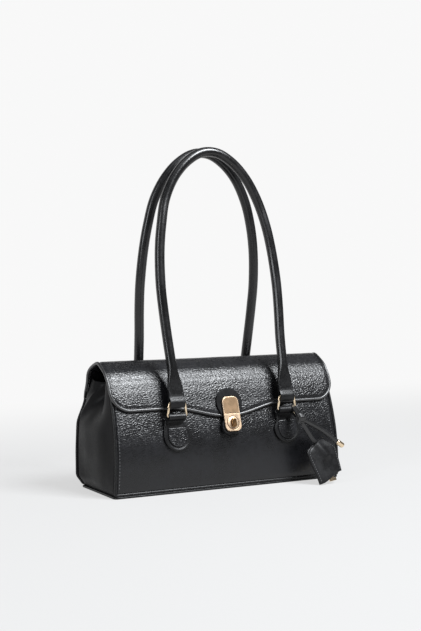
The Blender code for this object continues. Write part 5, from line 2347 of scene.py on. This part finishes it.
        def place(u: float, v: float) -> Vector:
            """A point of the face.

            Args:
                u: Its share of the way along the grid's rows.
                v: Its share of the way along the grid's columns.

            Returns:
                The point.
            """
            down = self.bell_length * v
            share = 2 * u - 1
            half = self.bell_edge(down)
            lift = self.top_lift * (1.0 - v) - self.foot_lift * v
            slant = v**2 * (self.left_drop - (self.left_drop + self.right_rise) * smoothstep(u))
            half *= 1.0 + smoothstep(-share) * self.bell_bulge(v)
            down += slant - lift
            puff = (1.0 - share**4) * (1.0 - hill(v, 0.0, 0.16))
            dip = 0.00030 * hill(abs(share), 0.86, 0.05)
            crease = 0.0004 * drift((half * share, down, out), 0.012, 2.0) * (1.0 - share**2)
            past = down - self.strand_top
            near = max(0.0, min(1.0, past / self.strand_run))
            aside = half * share + (self.entry + 0.0010) * (1.0 - near)
            beside = math.hypot(aside, past - self.strand_run * near)
            crease += self.strand_swell * hill(beside, 0.0, self.swell_reach)
            deep = 0.0014 + (self.mouth / 2 + 0.0001) * puff + crease - dip
            return Vector((half * share, down, out * deep))

        return wall(grid("face", 44, 56, place), self.bell_leather, Vector((0.0, 0.0, -out)), 0.0004)

    def bell(self) -> None:
        """The bell: two faces sewn together at their edges."""
        turn = self.bell_turn
        piece = joined("key_bell_leather", [self.bell_face(-1.0), self.bell_face(1.0)])
        place_mesh(piece, turn)
        dress(piece, self.finishes.smooth, Body.BELL, ["key_bell"])
        rows = []
        for out in (-1.0, 1.0):
            line, mirror = [], []
            for step in range(60):
                v = 0.95 - 0.83 * step / 59
                down = self.bell_length * v
                half = self.bell_edge(down) - self.seam_inset
                wide = -half * (1.0 + self.bell_bulge(v))
                line.append(turn @ Vector((wide, down + self.left_drop * v**2, out * self.seam_out)))
                mirror.append(turn @ Vector((half, down - self.right_rise * v**2, out * self.seam_out)))
            facing = turn.to_3x3() @ Vector((0.0, 0.0, out))
            rows += [stitch_row("row", path, facing, self.stitch, self.stitch_gap) for path in (line, mirror)]
        seams = joined("key_bell_stitches", rows)
        dress(seams, self.finishes.pale_thread, Body.BELL)

    def build(self) -> None:
        """Make the lanyard and what hangs on it."""
        self.loop()
        self.gather()
        self.tail()
        self.drop()
        self.bell()


# The studio


@dataclass
class Studio:
    """The pale sweep, the softboxes and the camera."""

    tone: float = 0.135
    glow: float = 0.605
    wall: float = 0.94
    near: float = 0.15
    far: float = 0.90
    floor_rough: float = 0.9
    width: float = 8.0
    front: float = -4.0
    depth: float = 9.0
    bend_at: float = 1.6
    bend: float = 1.2
    air: float = 0.13
    lens: float = 69.74
    eye: Point = (-0.69668, -1.24405, 0.25734)
    aim: Point = (-0.00311, 0.0, 0.1954)

    def sweep(self) -> None:
        """A floor that curves up into a backdrop."""

        def place(u: float, v: float) -> Vector:
            """A point of the floor or of the backdrop.

            Args:
                u: Its share of the way along the grid's rows.
                v: Its share of the way along the grid's columns.

            Returns:
                The point.
            """
            x = self.width * (u - 0.5)
            past = self.front + self.depth * v - self.bend_at
            if past < 0:
                return Vector((x, self.bend_at + past, 0.0))
            turn = min(past / self.bend, math.pi / 2)
            rest = max(past - self.bend * math.pi / 2, 0.0)
            return Vector((x, self.bend_at + self.bend * math.sin(turn), self.bend * (1 - math.cos(turn)) + rest))

        floor = grid("studio_sweep", 2, 60, place)
        hold(floor)
        bpy.ops.object.shade_smooth()
        coat = Coat("studio_paper")
        far = coat.stretch(coat.along("Y"), self.near, self.far)
        values = {
            "Base Color": coat.blend(far, (self.tone,) * 3, (0.0,) * 3),
            "Emission Color": coat.blend(far, (self.glow,) * 3, (self.wall,) * 3),
            "Emission Strength": 1.0,
            "Roughness": self.floor_rough,
            "Specular IOR Level": 0.0,
        }
        coat.feed(coat.shader, values)
        floor.data.materials.append(coat.made)

    def look(self, obj: Object, place: Point, aim: Point) -> None:
        """Stand a light or a camera at one point and turn it to another."""
        obj.location = place
        obj.rotation_euler = (Vector(aim) - Vector(place)).to_track_quat("-Z", "Y").to_euler()

    def softbox(self, name: str, place: Point, aim: Point, size: tuple[float, float], power: float) -> None:
        """An area light that looks at a point.

        Args:
            name: The light's name.
            place: Where it stands.
            aim: What it looks at.
            size: Its width and height.
            power: Its strength in watts.
        """
        data = bpy.data.lights.new(name, "AREA")
        data.shape = "RECTANGLE"
        data.size, data.size_y = size
        data.energy = power
        data.color = (0.94, 0.97, 1.0)
        light = bpy.data.objects.new(name, data)
        bpy.context.scene.collection.objects.link(light)
        self.look(light, place, aim)

    def world(self) -> None:
        """Even grey light from all round."""
        made = bpy.data.worlds.new("studio_air")
        made.use_nodes = True
        graph = Graph(made.node_tree)
        graph.feed(graph.tree.nodes["Background"], {"Color": (1.0, 1.0, 1.0, 1.0), "Strength": self.air})
        bpy.context.scene.world = made

    def camera(self) -> None:
        """The photo's view."""
        data = bpy.data.cameras.new("photo_camera")
        data.lens = self.lens
        data.sensor_width = 36.0
        data.sensor_fit = "AUTO"
        data.clip_start = 0.01
        data.clip_end = 50.0
        view = bpy.data.objects.new("photo_camera", data)
        bpy.context.scene.collection.objects.link(view)
        self.look(view, self.eye, self.aim)
        bpy.context.scene.camera = view

    def build(self) -> None:
        """Set up the studio."""
        self.sweep()
        self.world()
        self.softbox("key_softbox", (0.76, -1.30, 1.95), (0.0, 0.0, 0.10), (1.1, 0.9), 120.0)
        self.softbox("top_softbox", (-0.1, -0.3, 1.7), (0.0, 0.0, 0.10), (1.4, 1.0), 4.0)
        self.softbox("left_softbox", (-1.7, -0.5, 0.9), (0.0, 0.0, 0.15), (0.4, 1.1), 12.0)
        self.camera()
        bpy.context.scene.view_settings.view_transform = "Standard"


def main() -> None:
    """Build the bag's looks round the frame."""
    logging.basicConfig(level=logging.INFO, format="%(message)s")
    finishes = Wardrobe()
    Shell(finishes).build()
    Flap(finishes).build()
    TurnLock(finishes).build()
    for side in Side:
        Carrier(finishes, side).build()
    Charm(finishes).build()
    Studio().build()


if __name__ == "__main__":
    main()
